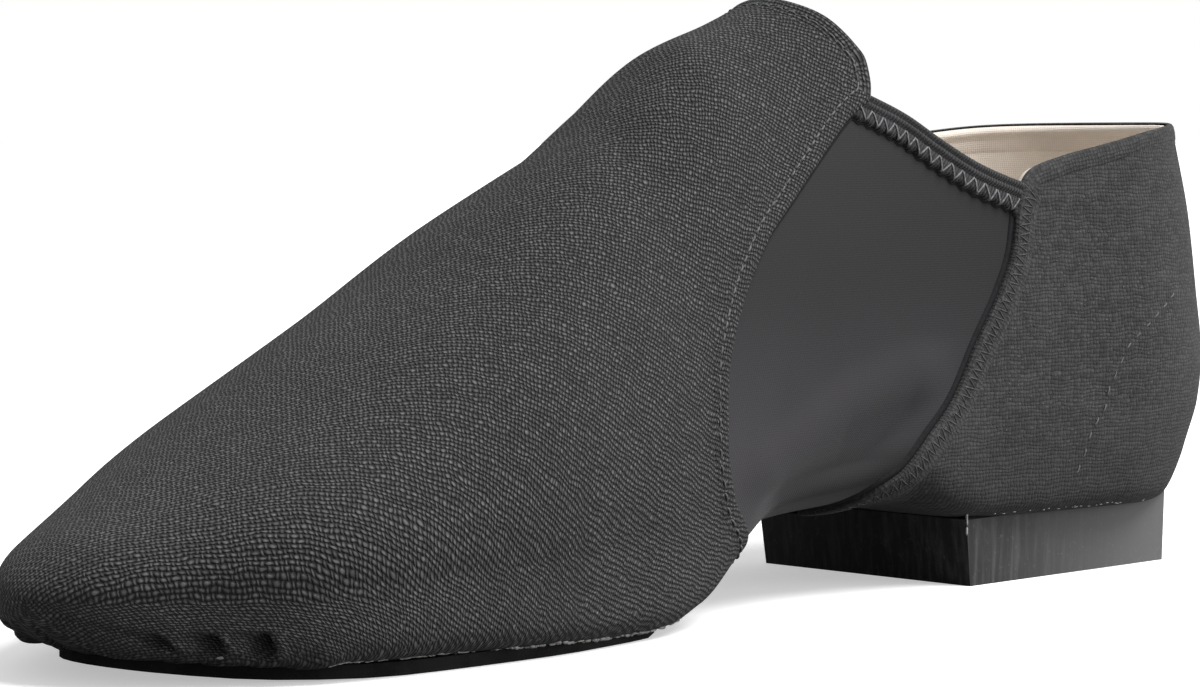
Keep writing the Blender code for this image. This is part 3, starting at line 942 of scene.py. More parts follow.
@made_once
def canvas_material(w, shader, look, part="vamp"):
    pitch = sizes().weave_pitch
    across, along, tone, relief, contrast = CANVAS[part]
    pitches = {"Across_pitch": pitch * across, "Along_pitch": pitch * along}
    weave = use_group(w, woven_group(), Cloth=cloth_plane(w), Waver=0.36, **pitches)
    wear = use_group(w, wear_group(), Place=own_space(w), Dust_top=0.014, Size=0.03)
    dark, pale = scaled(look.yarn, 0.62 * tone), scaled(look.yarn, 1.5 * tone)
    yarn = w.mix(w.span(weave["Shade"], 0.15, 0.9), dark, pale)
    # Painted glints: pale flecks of fibre on the yarns' tops.
    yarn = w.mix(w.times(weave["Fleck"], 0.45), yarn, scaled(look.yarn, 3.6))
    yarn = w.mix(w.times(wear["Rubbed"], 0.16), yarn, scaled(look.yarn, 2.2))
    # Painted shade in the gaps between the yarns and down their sides, as strong as the part's share.
    depth = w.times(w.minus(1.0, weave["Crown"]), 0.85)
    depth = w.times(w.math("MAXIMUM", depth, weave["Gap"]), contrast)
    cloth = w.mix(depth, yarn, look.weave_gap[:])
    # Painted shade: the quarter's canvas darker toward the bottom.
    if part == "quarter":
        _, _, high = w.split(own_space(w))
        cloth = w.mix(w.span(high, 0.036, 0.014, 0.0, 0.42), cloth, look.weave_gap[:])
    base = w.mix(w.times(wear["Dust"], 0.45), cloth, look.glue[:])
    finish(w, shader, base, bumped(w, weave["Height"], relief, 0.95), 0.86, 0.28, 0.05)


@made_once
def stretch_material(w, shader, look):
    """Painted shade and light: darker at the top and lighter low down, with a painted shadow in the hollow
    under the fold above the arch.
    """
    u, v, _ = w.split(cloth_plane(w))
    slant = w.plus(u, w.times(v, 0.55))
    ribs = use_group(w, ribs_group(), Across=slant, Along=v, Pitch=0.00062, Waver=0.05)
    fine = use_group(w, ribs_group(), Across=v, Along=u, Pitch=0.0004, Waver=0.2)
    height = w.plus(w.times(ribs["Height"], 0.7), w.times(fine["Height"], 0.3))
    tone = w.plus(w.times(ribs["Height"], 0.35), w.times(w.noise(own_space(w), 60.0, 2.0), 0.65))
    _, back, high = w.split(own_space(w))
    fold = w.minus(high, w.times(back, 0.2))
    # Painted shade at the top and painted light low down.
    top = w.mix(tone, scaled(look.stretch, 0.36), scaled(look.stretch, 0.52))
    low = w.mix(tone, scaled(look.stretch, 0.90), scaled(look.stretch, 1.20))
    shade = w.mix(w.span(high, 0.056, 0.022), top, low)
    # Painted shadow in the hollow under the fold above the arch.
    hollow = w.times(w.span(fold, 0.0245, 0.0120), w.span(back, -0.004, 0.010))
    base = w.mix(w.times(hollow, 0.94), shade, scaled(look.stretch, 0.06))
    finish(w, shader, base, bumped(w, height, 0.00007, 0.6), 0.78, 0.3, 0.12, 0.4)


@made_once
def binding_material(w, shader, look):
    plane = cloth_plane(w)
    u, v, _ = w.split(plane)
    slant = w.plus(u, w.times(v, 0.3))
    knit = use_group(w, ribs_group(), Across=slant, Along=v, Pitch=0.00062, Waver=0.35)
    fuzz = use_group(w, fuzz_group(), Place=plane, Size=0.00032, Stretch=0.6)
    base = w.mix(w.span(fuzz["Mottle"], 0.35, 0.7), scaled(look.binding, 0.8), scaled(look.binding, 1.3))
    # Painted shade in the grooves between the knit's ribs.
    base = w.mix(w.times(knit["Height"], 0.75), scaled(look.binding, 0.3), base)
    base = w.mix(w.times(fuzz["Fibre"], 0.55), base, scaled(look.binding, 3.2))
    height = w.plus(w.times(fuzz["Height"], 0.6), w.times(knit["Height"], 0.4))
    finish(w, shader, base, bumped(w, height, 0.0005, 0.9), 0.9, 0.25, 0.12)


@made_once
def lining_material(w, shader, look, kind="lining"):
    weave = use_group(
        w, woven_group(), Cloth=cloth_plane(w), Across_pitch=0.00042, Along_pitch=0.0004, Weft_lead=0.05
    )
    cotton = look.rim if kind == "rim" else look.lining
    mottle = w.noise(own_space(w), 110.0, 3.0, 0.6)
    tone = w.mix(w.span(mottle, 0.3, 0.75), scaled(cotton, 0.94), scaled(cotton, 1.05))
    # Painted shade in the gaps of the weave.
    base = w.mix(w.times(weave["Gap"], 0.18), tone, scaled(cotton, 0.45))
    finish(w, shader, base, bumped(w, weave["Height"], 0.00012, 0.5), 0.9, 0.25)


@made_once
def thread_material(w, shader, look, kind="dark"):
    yarn = {"pale": look.pale_thread, "dark": look.thread, "dim": scaled(look.thread, 0.55)}[kind]
    shade = w.noise(own_space(w), 1500.0, 2.0)
    finish(w, shader, w.mix(w.span(shade, 0.3, 0.7), scaled(yarn, 0.6), scaled(yarn, 1.35)), None, 0.7, 0.35)


@made_once
def shadow_material(w, shader, look):
    """Painted shadow: nearly black sheets deep in the seams and at the heel block's edge, where shade falls.
    """
    grain = w.noise(own_space(w), 1800.0, 2.0)
    finish(w, shader, w.mix(grain, look.weave_gap[:], (0.022, 0.022, 0.024, 1.0)), None, 0.9, 0.15)


@made_once
def suede_material(w, shader, look):
    place = own_space(w)
    fuzz = use_group(w, fuzz_group(), Place=place, Size=0.0003, Stretch=1.6)
    wear = use_group(w, wear_group(), Place=place, Dust_top=0.006, Size=0.018)
    base = w.mix(w.span(fuzz["Mottle"], 0.3, 0.7), scaled(look.suede, 0.8), scaled(look.suede, 1.6))
    base = w.mix(w.times(fuzz["Fibre"], 0.4), base, scaled(look.suede, 4.0))
    base = w.mix(w.times(wear["Rubbed"], 0.25), base, scaled(look.suede, 3.0))
    finish(w, shader, base, bumped(w, fuzz["Height"], 0.0002, 0.7), 0.95, 0.15)


@made_once
def rubber_material(w, shader, look):
    """Painted shade: darker at the front of the block, which the shoe shades, and lighter toward the back.
    Faint upright streaks, and rubbed patches.
    """
    place = own_space(w)
    _, back, _ = w.split(place)
    streaks = w.noise(w.stretched(place, (900.0, 900.0, 60.0)), 1.0, 3.0, 0.6)
    wear = use_group(w, wear_group(), Place=place, Dust_top=0.02, Size=0.012)
    # Painted shade at the front of the block, painted light toward the back.
    base = w.mix(w.span(back, 0.0520, 0.1050), scaled(look.rubber, 0.25), scaled(look.rubber, 2.1))
    base = w.mix(w.times(w.span(streaks, 0.4, 0.7), 0.3), base, scaled(look.rubber, 2.6))
    base = w.mix(w.times(wear["Rubbed"], 0.12), base, scaled(look.rubber, 2.6))
    base = w.mix(w.times(wear["Dust"], 0.15), base, look.glue[:])
    grain = bumped(w, w.noise(place, 2600.0, 3.0, 0.6), 0.00004, 0.5)
    finish(w, shader, base, grain, w.span(streaks, 0.3, 0.7, 0.55, 0.72), 0.4)


@made_once
def glue_material(w, shader, look):
    shade = w.noise(own_space(w), 1200.0, 2.0)
    finish(w, shader, w.mix(shade, scaled(look.glue, 0.6), scaled(look.glue, 1.2)), None, 0.6, 0.5)


@made_once
def floor_material(w, shader, look):
    """White to the camera, and darker to the light that falls on the shoe from below."""
    seen = w.add("ShaderNodeLightPath").outputs["Is Camera Ray"]
    w.put(shader["Emission Color"], w.mix(seen, grey(0.0), grey(0.45)))
    w.put(shader["Emission Strength"], 1.0)
    finish(w, shader, w.mix(seen, grey(0.22), grey(0.86)), None, 0.7, 0.2)


# The pleats gathered at the toe's inner side: for each, the share where its fold ends near the sole,
# how it leans toward the toe as it rises, and its width.
PLEATS = ((0.0566, 1.22, 0.0032), (0.0710, 0.64, 0.0031), (0.0898, 0.45, 0.0030))
PLEAT_DEPTH = 0.0034
PLEAT_LIP, PLEAT_LIP_WIDTH = 0.0004, 0.0014
PLEAT_KEPT = 0.08
LOW_FOLD_AT, LOW_FOLD_HEIGHT, LOW_FOLD_WIDTH = 0.1190, 0.0005, 0.0075
OUTER_PLEATS = (0.030, 0.052, 0.078)
OUTER_DEPTH, OUTER_WIDTH = 0.0017, 0.0036
TOE_RIPPLE = 0.00024
VAMP_SWELL, QUARTER_SWELL = 0.00022, 0.00018


def vamp_relief(at, angle):
    """How far the vamp's cloth stands off the last: worn undulations, the pleats gathered round the
    toe, and small ripples along its lower edge."""
    places = on_last(at, angle)
    x, y, z = places[..., 0], places[..., 1], places[..., 2]
    relief = VAMP_SWELL * np.sin(y * 95 + x * 60) * np.sin(x * 120 - z * 50 + 0.6)
    relief = relief * soft_step(np.sin(angle), -0.6, 0.0)
    along = at * SHOE_LENGTH
    kept = PLEAT_KEPT + (1 - PLEAT_KEPT) * soft_step(z - underside(at), 0.0006, 0.0020)
    low = (1 - soft_step(z, 0.0058, 0.0082)) * kept
    inner, outer = (soft_step(side * np.cos(angle), 0.0, 0.25) for side in (1, -1))
    for centre, lean, width in PLEATS:
        off = along - centre * SHOE_LENGTH + (z - 0.0034) * lean
        fall = np.clip(1 + off / width, 0, 1) ** 1.5 * (1 - soft_step(off, 0.0, 0.0006))
        lip = PLEAT_LIP * bump(off - 0.0013, PLEAT_LIP_WIDTH)
        relief = relief - (PLEAT_DEPTH * fall - lip) * low * inner
    off = along - LOW_FOLD_AT * SHOE_LENGTH
    fold = bump(off, LOW_FOLD_WIDTH) * (1 - soft_step(z, 0.0035, 0.0060))
    relief = relief + LOW_FOLD_HEIGHT * fold * inner
    edge = (1 - soft_step(z, 0.0045, 0.0105)) * (1 - soft_step(at, 0.045, 0.12))
    ripple = np.sin(angle * 17 + 0.8) + 0.6 * np.sin(angle * 29 + 2.0)
    relief = relief + TOE_RIPPLE * ripple * edge * (1 - 0.7 * inner * soft_step(at, 0.03, 0.045))
    for centre in OUTER_PLEATS:
        off = along - centre * SHOE_LENGTH + z - 0.0042
        relief = relief - OUTER_DEPTH * bump(off, OUTER_WIDTH) * low * outer
    return relief


def quarter_relief(at, angle):
    """How far the quarter's cloth stands off the last."""
    places = on_last(at, angle)
    y, z = places[..., 1], places[..., 2]
    soft = QUARTER_SWELL * np.sin(y * 110 + z * 90) * np.sin(z * 130 - y * 40)
    return soft * soft_step(np.sin(angle), -0.6, 0.0)


# The fold above the arch: its height at places along the shoe.
PANEL_FOLD = ((-0.020, 0.013), (0.000, 0.021), (0.018, 0.029), (0.035, 0.033), (0.055, 0.032))
PANEL_SWELL, PANEL_SWELL_WIDTH, PANEL_HOLLOW = 0.0009, 0.014, 0.0020


def panel_relief(at, angle):
    """How far the stretch panels stand off the last: they swell along a slanting fold above the arch
    and sink in under it, and lie flat at the seams."""
    places = on_last(at, angle)
    y, z = places[..., 1], places[..., 2]
    fold = z - np.interp(y, *np.transpose(PANEL_FOLD))
    front = at - np.interp(folded(angle), FOLDED, VAMP_REACH)
    back = np.interp(folded(angle), FOLDED, QUARTER_REACH) - at
    inside = soft_step(front, 0.0, 0.045) * soft_step(back, 0.0, 0.045) * np.abs(np.cos(angle))
    under = (1 - soft_step(fold, -0.008, 0.002)) * soft_step(z - underside(at), 0.0050, 0.0095)
    return (PANEL_SWELL * bump(fold - 0.004, PANEL_SWELL_WIDTH) - PANEL_HOLLOW * under) * inside


def loop_along(reach, angles):
    return np.interp(folded(angles), FOLDED, reach), angles


def evenly_spaced(values, points, step):
    """The values at places about this far apart along the line of points."""
    count = max(int(round(lengths_along(points)[-1] / step)), 2)
    return evenly(values, points, count + 1)


def even_angles(reach, low, high, step):
    """Angles along an edge, evenly spread about this far apart."""
    fine = np.linspace(low, high, 3000)
    return evenly_spaced(fine, on_last(np.interp(folded(fine), FOLDED, reach), fine), step)


def collar_angle(at):
    """Angle of the inner topline, carried straight on in front of the tongue's corner."""
    return np.interp(at, *COLLAR) + np.maximum(TONGUE_CORNER[0] - at, 0.0) * FRONT_SLOPE


def collar_line(step, start, end=1.0):
    """Shares and angles along the inner topline between two shares, evenly spread."""
    run = np.linspace(0, 1, 3000)
    places = start + (end - start) * (np.sin(run * math.pi / 2) if end == 1.0 else run)
    at = evenly_spaced(places, on_last(places, collar_angle(places)), step)
    return at, collar_angle(at)


def both_sides(angle, backwards=False):
    """For each side of the shoe: its name, these angles on it, and whether it is the inner one. A seam
    that runs over the shoe is turned round on the outer side, so that it keeps running the same way."""
    yield "left", angle, True
    yield "right", (math.pi - angle)[::-1] if backwards else math.pi - angle, False


def band(name, at, angle, profile, material, onto_left=True, rise=None, flatten=strip_flat):
    """A strip of cloth along a seam, from a row of (distance onto the cloth, height) in millimetres.
    "rise" makes the heights above the cloth larger or smaller along the seam."""
    points, onto, normal = seam_frame(at, angle, onto_left)
    shape = np.repeat(np.asarray(profile, float)[None] / 1000, len(points), axis=0)
    if rise is not None:
        high = shape[..., 1]
        shape[..., 1] = np.where(high > 0, high * np.asarray(rise)[:, None], high)
    rows = strip_along(points, onto, normal, shape)
    return piece_from(name, rows, grid_faces(*rows.shape[:2]), material, flatten(rows))


def stitch_runs(at, angle, distance, height, reach):
    """Short threads laid along a seam, one for each of its places."""
    points, onto, normal = seam_frame(at, angle)
    along = unit(np.gradient(points, axis=0))
    t = np.linspace(-0.5, 0.5, 7)
    lift = height * (1 - 1.7 * (2 * t) ** 4)
    runs = (points + onto * distance)[:, None] + along[:, None] * (t * reach)[None, :, None]
    return runs + normal[:, None] * lift[None, :, None], np.broadcast_to(normal[:, None], runs.shape)


def zigzag_runs(at, angle, near, far, height, pitch, onto_left, seed):
    """Zigzag stitches: threads that cross a seam's band to and fro, two for each pitch."""
    lines = seam_frame(at, angle, onto_left)
    along = lengths_along(lines[0])
    count = int(along[-1] / pitch)
    jitter = np.random.default_rng(seed)
    ends = np.linspace(0, along[-1], 2 * count + 1)
    ends[1:-1] += jitter.normal(0, 0.06 * pitch, 2 * count - 1)
    t = np.linspace(0, 1, 9)
    runs, normals = [], []
    for k in range(2 * count):
        go = ends[k] + (ends[k + 1] - ends[k]) * t
        start, end = (near, far) if k % 2 == 0 else (far, near)
        across = start + (end - start) * t + jitter.normal(0, 0.00008)
        lift = height - 0.00045 * (2 * t - 1) ** 6
        point, onto, normal = (
            np.stack([np.interp(go, along, line[:, c]) for c in range(3)], axis=1) for line in lines
        )
        runs.append(point + onto * across[:, None] + normal * lift[:, None])
        normals.append(normal)
    return np.array(runs), np.array(normals)


# Sections of the bands, as (distance onto the cloth, height above the last) in millimetres.
VAMP_HEM = (
    (4.6, -0.25), (4.2, 0.0), (3.4, 0.16), (2.9, 0.14), (2.6, 0.06), (2.3, 0.14), (1.7, 0.34), (0.9, 0.42),
    (0.3, 0.34), (0.0, 0.05), (-0.1, -0.5), (-0.05, -0.95),
)
TONGUE_WRAP = VAMP_HEM[:9] + (
    (0.0, 0.15), (-0.25, -0.3), (-0.4, -1.0), (-0.3, -1.6), (0.1, -2.1), (0.9, -2.4), (2.0, -2.35),
    (2.7, -2.0),
)
SEAM_SHADOW = ((0.3, -0.95), (0.0, -0.55), (-0.6, -0.55), (-0.85, -0.95))
QUARTER_HEM = (
    (4.8, -0.3), (4.5, 0.1), (4.1, 0.38), (3.0, 0.5), (1.2, 0.5), (0.4, 0.4), (0.05, 0.1), (0.0, -0.4),
    (0.05, -0.95),
)
# Painted shadow: a nearly black strip in the gap at the quarter's front edge.
QUARTER_GAP_SHADOW = ((0.3, -0.9), (0.05, -0.5), (-0.5, -0.5), (-0.95, -0.55), (-1.15, -0.95))
QUARTER_RIM = (
    (3.2, -0.3), (2.8, 0.0), (2.3, 0.16), (1.2, 0.22), (0.2, 0.14), (-0.3, -0.1), (-0.52, -0.5),
    (-0.4, -0.95),
)
LINING_RIM = (
    (0.4, -0.85), (0.05, -1.0), (-0.22, -1.5), (-0.15, -2.2), (0.45, -2.7), (1.0, -2.7), (1.5, -2.3),
    (1.8, -2.1), (2.4, -2.2), (4.0, -2.15), (4.6, -1.9),
)
BINDING_WRAP = (
    (3.6, -1.95), (3.0, -2.4), (1.0, -2.7), (-0.2, -2.4), (-0.85, -1.6), (-1.0, -0.7), (-0.8, 0.0),
    (-0.35, 0.38), (0.1, 0.38), (0.42, 0.0), (0.52, 0.0), (0.8, 0.34), (1.2, 0.5), (1.6, 0.36), (1.9, -0.05),
    (2.0, -0.05), (2.25, 0.1), (3.0, 0.22), (3.8, 0.18), (4.4, -0.05), (4.55, -0.85),
)
# Painted shadow: a nearly black toothed strip under the binding's lower edge.
BINDING_SHADOW_TEETH = ((4.2, -0.6), (4.7, -0.60), (4.95, -0.68), (5.05, -0.95))

# The heel counter's stitched line, as (share, angle).
COUNTER_STITCH = (
    (0.8922, 0.158), (0.8660, 0.130), (0.8396, 0.099), (0.8270, 0.064), (0.8167, 0.028), (0.8035, -0.125),
    (0.7981, -0.353), (0.7918, -0.498),
)


def sheet(name, at, angle, out, material, over_toe=False, inside=False):
    """A sheet of cloth over a grid of places on the last, this far off it, that faces out or inside."""
    points = on_last(at, angle, out)
    outward = on_last(at, angle, 0.01) - on_last(at, angle)
    flat = cloth_over_toe(points) if over_toe else cloth_round_heel(at, angle)
    facing = -outward if inside else outward
    return piece_from(name, points, grid_faces(*at.shape), material, flat, facing)


def build_vamp():
    at, angle = toe_to_edge(sizes().vamp_lines, sizes().vamp_rows)
    piece = sheet("vamp_canvas", at, angle, vamp_relief(at, angle), canvas_material(), over_toe=True)
    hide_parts("upper")


def build_quarter():
    at, angle = edge_to_heel(QUARTER_REACH, QUARTER_COLLAR, 110, 190)
    sheet("quarter_canvas", at, angle, quarter_relief(at, angle), canvas_material("quarter"))


PANEL_UNDER = 0.012
PANEL_TOP_GAP = 0.004


def build_panels():
    """The panels run in under the vamp and the quarter, and stop just below the collar."""
    columns, rows = 130, 110
    share = np.linspace(1, 0, columns)[:, None]
    along = np.linspace(0, 1, rows)[None, :]
    at = np.full((columns, rows), 0.6)
    for _ in range(60):
        angle = -math.pi / 2 + share * (np.interp(at, *COLLAR) - PANEL_TOP_GAP + math.pi / 2)
        front = np.interp(angle, FOLDED, VAMP_REACH) - PANEL_UNDER
        back = np.interp(angle, FOLDED, QUARTER_REACH) + PANEL_UNDER
        at = at + 0.35 * (front + (back - front) * along - at)
    at = np.concatenate([at, at[::-1][1:]])
    angle = np.concatenate([angle, (math.pi - angle)[::-1][1:]])
    sheet("stretch_panels", at, angle, panel_relief(at, angle) - PANEL_STEP, stretch_material())


def build_lining():
    """The lining follows the cloth where that sinks in."""
    for name, grid, relief, over_toe in (
        ("vamp_lining", toe_to_edge(200, 90), vamp_relief, True),
        ("rear_lining", edge_to_heel(VAMP_REACH, COLLAR, 90, 150), panel_relief, False),
    ):
        out = -WALL + np.minimum(relief(*grid), 0.0)
        sheet(name, *grid, out, lining_material(), over_toe, inside=True)


HEM_STEP = 0.0008


def build_hems():
    size = sizes()
    canvas = canvas_material("hem")
    angles = even_angles(VAMP_REACH, -1.35, TONGUE_ANGLE, 0.0009)
    for name, turned, _ in both_sides(angles, backwards=True):
        at, _ = loop_along(VAMP_REACH, turned)
        height = on_last(at, turned)[:, 2]
        rise = soft_step(height, 0.012, 0.050) * 0.7 + 0.3
        band("vamp_hem_" + name, at, turned, VAMP_HEM, canvas, rise=rise, flatten=cloth_over_toe)
        high = height > 0.040
        band("seam_shadow_" + name, at[high], turned[high], SEAM_SHADOW, shadow_material())
    angles = even_angles(VAMP_REACH, TONGUE_ANGLE, math.pi - TONGUE_ANGLE, HEM_STEP)
    band("tongue_hem", *loop_along(VAMP_REACH, angles), TONGUE_WRAP, canvas)
    angles = even_angles(VAMP_REACH, -0.75, math.pi + 0.75, size.stitch_length)
    line = loop_along(VAMP_REACH, angles)
    runs, normals = stitch_runs(*line, size.hem_width, 0.00024, size.stitch_length * 0.72)
    tubes("hem_stitches", runs, normals, size.thread / 2, thread_material("dark"))
    angles = even_angles(QUARTER_REACH, -1.2, QUARTER_ANGLE, HEM_STEP)
    for name, turned, _ in both_sides(angles, backwards=True):
        line = loop_along(QUARTER_REACH, turned)
        band("quarter_hem_" + name, *line, QUARTER_HEM, canvas_material("quarter"), False)
        # Painted shadow in the gap along the quarter's edge.
        band("quarter_gap_" + name, *line, QUARTER_GAP_SHADOW, shadow_material(), False)
        far = size.quarter_hem - 0.0010
        runs, normals = zigzag_runs(*line, 0.0005, far, 0.00052, 0.0017, False, 5)
        tubes("quarter_zigzag_" + name, runs, normals, size.thread * 0.36, thread_material("dim"))


def build_rims():
    at, angle = collar_line(HEM_STEP, QUARTER_CORNER[0])
    for name, turned, inner in both_sides(angle):
        band("quarter_rim_" + name, at, turned, QUARTER_RIM, canvas_material("quarter"), not inner)
        band("lining_rim_" + name, at, turned, LINING_RIM, lining_material("rim"), not inner)


PRESSED = (-0.00175, -0.00095)
PRESS_SPAN = (-0.0005, 0.0030)


def sink_under(rows, normal, heights):
    """A strip whose parts that run in under the vamp or the quarter are pressed in between the cloth
    and its lining."""
    share = (rows[..., 1] + MIDDLE[1]) / SHOE_LENGTH + 0.5
    height = (rows[..., 2] - underside(np.clip(share, 0, 1))) / INSTEP_HEIGHT
    vamp = np.interp(height, VAMP_HEIGHT, VAMP_AT)
    quarter = np.interp(height, QUARTER_HEIGHT, QUARTER_AT)
    quarter = np.where(height < QUARTER_CORNER[1], quarter, QUARTER_CORNER[0])
    under = np.maximum(soft_step(vamp - share, *PRESS_SPAN), soft_step(share - quarter, *PRESS_SPAN))
    pressed = np.clip(heights, *PRESSED)
    return rows + normal[:, None, :] * ((pressed - heights) * under)[..., None]


BINDING_STEP = 0.0004
TOOTH_REACH = 0.00055


def build_bindings():
    """Each binding runs on under the tongue and the quarter, where it is pressed flat."""
    size = sizes()
    tongue, quarter = TONGUE_CORNER[0], QUARTER_CORNER[0]
    at, angle = collar_line(BINDING_STEP, tongue - 0.034, quarter + 0.010)
    angle = np.where(at > quarter, QUARTER_ANGLE - (at - quarter) * 5.0, angle)
    for name, turned, inner in both_sides(angle):
        points, onto, normal = seam_frame(at, turned, not inner)
        teeth = np.abs((lengths_along(points) / size.zigzag_pitch) % 1.0 - 0.5) * 2 - 0.5
        # The second strip is a painted shadow under the binding's toothed edge.
        for label, wrap, material in (
            ("collar_knit_", BINDING_WRAP, binding_material()),
            ("binding_teeth_", BINDING_SHADOW_TEETH, shadow_material()),
        ):
            profile = np.repeat(np.asarray(wrap)[None] / 1000, len(at), axis=0)
            lower = (profile[0, :, 0] > 0.0036) & (profile[0, :, 1] > -0.0010)
            profile[..., 0] += teeth[:, None] * TOOTH_REACH * lower
            rows = sink_under(strip_along(points, onto, normal, profile), normal, profile[..., 1])
            faces = grid_faces(*rows.shape[:2])
            piece = piece_from(label + name, rows, faces, material, strip_flat(rows))
            if wrap is BINDING_WRAP:
                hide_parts("collar_binding_" + name)
        seen = (at > tongue - 0.009) & (at < quarter - 0.001)
        line = (at[seen], turned[seen])
        runs, normals = zigzag_runs(*line, 0.0021, 0.0045, 0.00030, size.zigzag_pitch, not inner, 11)
        tubes("binding_zigzag_" + name, runs, normals, size.thread * 0.45, thread_material("pale"))


def build_counter_stitches():
    size = sizes()
    rows = np.array(COUNTER_STITCH)
    fine = np.linspace(0, len(rows) - 1, 400)
    at, angle = (np.interp(fine, np.arange(len(rows)), rows[:, k]) for k in range(2))
    points = on_last(at, angle)
    count = int(lengths_along(points)[-1] / (size.stitch_length * 1.35))
    at, angle = (evenly(values, points, count) for values in (at, angle))
    sides = [
        stitch_runs(at, turned, 0.0, 0.00012, size.stitch_length * 0.75) for _, turned, _ in both_sides(angle)
    ]
    runs, normals = (np.concatenate(both) for both in zip(*sides))
    tubes("counter_stitches", runs, normals, size.thread * 0.4, thread_material("dark"))


# Dashes of glue along the forefoot: from and to which share, how many, and their radius at most.
GLUE_LINES = ((0.245, 0.405, 95, 0.00042), (0.125, 0.245, 46, 0.00020), (0.055, 0.125, 16, 0.00024))
SOLE_GLUE_ANGLE, BLOCK_GLUE_ANGLE = -0.80, -0.79
DASH = np.linspace(-0.5, 0.5, 5)
DASH_TAPER = np.array([0.4, 0.9, 1.0, 0.8, 0.35])
BLOCK_CORNER = np.array([0.0254, 0.0511])
CORNER_TAPER = np.array([0.4, 1.0, 0.8, 1.0, 0.4])


def build_glue():
    """Broken pale dashes and specks where the canvas meets the sole, and at the heel block."""
    jitter = np.random.default_rng(23)
    runs, normals, radii = [], [], []

    def lay_dash(at, angle, out, radius):
        runs.append(on_last(at, angle, out))
        normals.append(unit(on_last(at, angle, 0.001) - on_last(at, angle)))
        radii.append(radius * DASH_TAPER)

    for low, high, count, thick in GLUE_LINES:
        for at in jitter.uniform(low, high, count):
            places = at + DASH * jitter.uniform(0.0003, 0.0016) / SHOE_LENGTH
            angles = SOLE_GLUE_ANGLE + jitter.normal(0, 0.012) + jitter.normal(0, 0.004, 5)
            out = vamp_relief(places, angles) if low > PLEATS[-1][0] else -GAP
            lay_dash(places, angles, out, thick * jitter.uniform(0.35, 1.0))
    for at in jitter.uniform(0.715, 0.90, 26):
        places = at + DASH * jitter.uniform(0.0003, 0.0010) / SHOE_LENGTH
        angles = np.full(5, BLOCK_GLUE_ANGLE + jitter.normal(0, 0.01))
        lay_dash(places, angles, 0.0, 0.00016 * jitter.uniform(0.5, 1.0))
    for low, high in ((0.0088, 0.0102), (0.0104, 0.0127)):
        runs.append(np.column_stack([np.repeat([BLOCK_CORNER], 5, axis=0), np.linspace(low, high, 5)]))
        normals.append(np.repeat([[0.7, -0.7, 0.0]], 5, axis=0))
        radii.append(0.00022 * CORNER_TAPER)
    tubes("dried_glue", runs, normals, np.array(radii), glue_material(), sides=5)


def hull_of(points):
    """Corners of the smallest convex outline round flat points, in order."""
    ordered = sorted(set(map(tuple, np.round(points, 6))))

    def turns_left(a, b, c):
        return (b[0] - a[0]) * (c[1] - a[1]) > (b[1] - a[1]) * (c[0] - a[0])

    def half(row):
        kept = []
        for p in row:
            while len(kept) > 1 and not turns_left(kept[-2], kept[-1], p):
                kept.pop()
            kept.append(p)
        return kept[:-1]

    return np.array(half(ordered) + half(ordered[::-1]))


def solid_node(name):
    return next(o for o in bpy.data.objects if o.name == name)


COVER_CELL = 0.003
WORN_DEPTH = 0.0005


def build_insole():
    """The insole's cotton cover, with rounded edges, worn hollow under the heel and the ball."""
    node = solid_node("insole")
    work = bmesh.new()
    work.from_mesh(node.data)
    work.transform(node.matrix_world)
    bmesh.ops.dissolve_limit(work, angle_limit=math.radians(1), verts=work.verts[:], edges=work.edges[:])
    sharp = [e for e in work.edges if len(e.link_faces) == 2 and e.calc_face_angle() > math.radians(50)]
    bmesh.ops.bevel(work, geom=sharp, offset=0.0005, segments=2, affect="EDGES", clamp_overlap=True)
    spots = np.array([v.co for v in work.verts])
    for axis in (0, 1):
        across = Vector((1.0 - axis, float(axis), 0.0))
        low, high = spots[:, axis].min() + COVER_CELL, spots[:, axis].max() - COVER_CELL / 2
        for place in np.arange(low, high, COVER_CELL):
            parts = [*work.verts, *work.edges, *work.faces]
            bmesh.ops.bisect_plane(work, geom=parts, plane_co=across * float(place), plane_no=across)
    work.verts.index_update()
    points = np.array([v.co for v in work.verts])
    faces = [[v.index for v in face.verts] for face in work.faces]
    upper = np.array([v.normal.z for v in work.verts]) > 0.6
    work.free()
    x, y = points[:, 0], points[:, 1]
    worn = bump(np.hypot(x - 0.002, y - 0.082), 0.024) + 0.8 * bump(np.hypot(x, (y + 0.068) * 0.8), 0.030)
    points[:, 2] -= WORN_DEPTH * worn * upper
    piece = piece_from("insole_cover", points, faces, lining_material("insole"), points[:, :2])
    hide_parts("insole")


SEAT_INSET = 0.0007
SEAT_RISE, SEAT_DEPTH = 0.0014, 0.0045


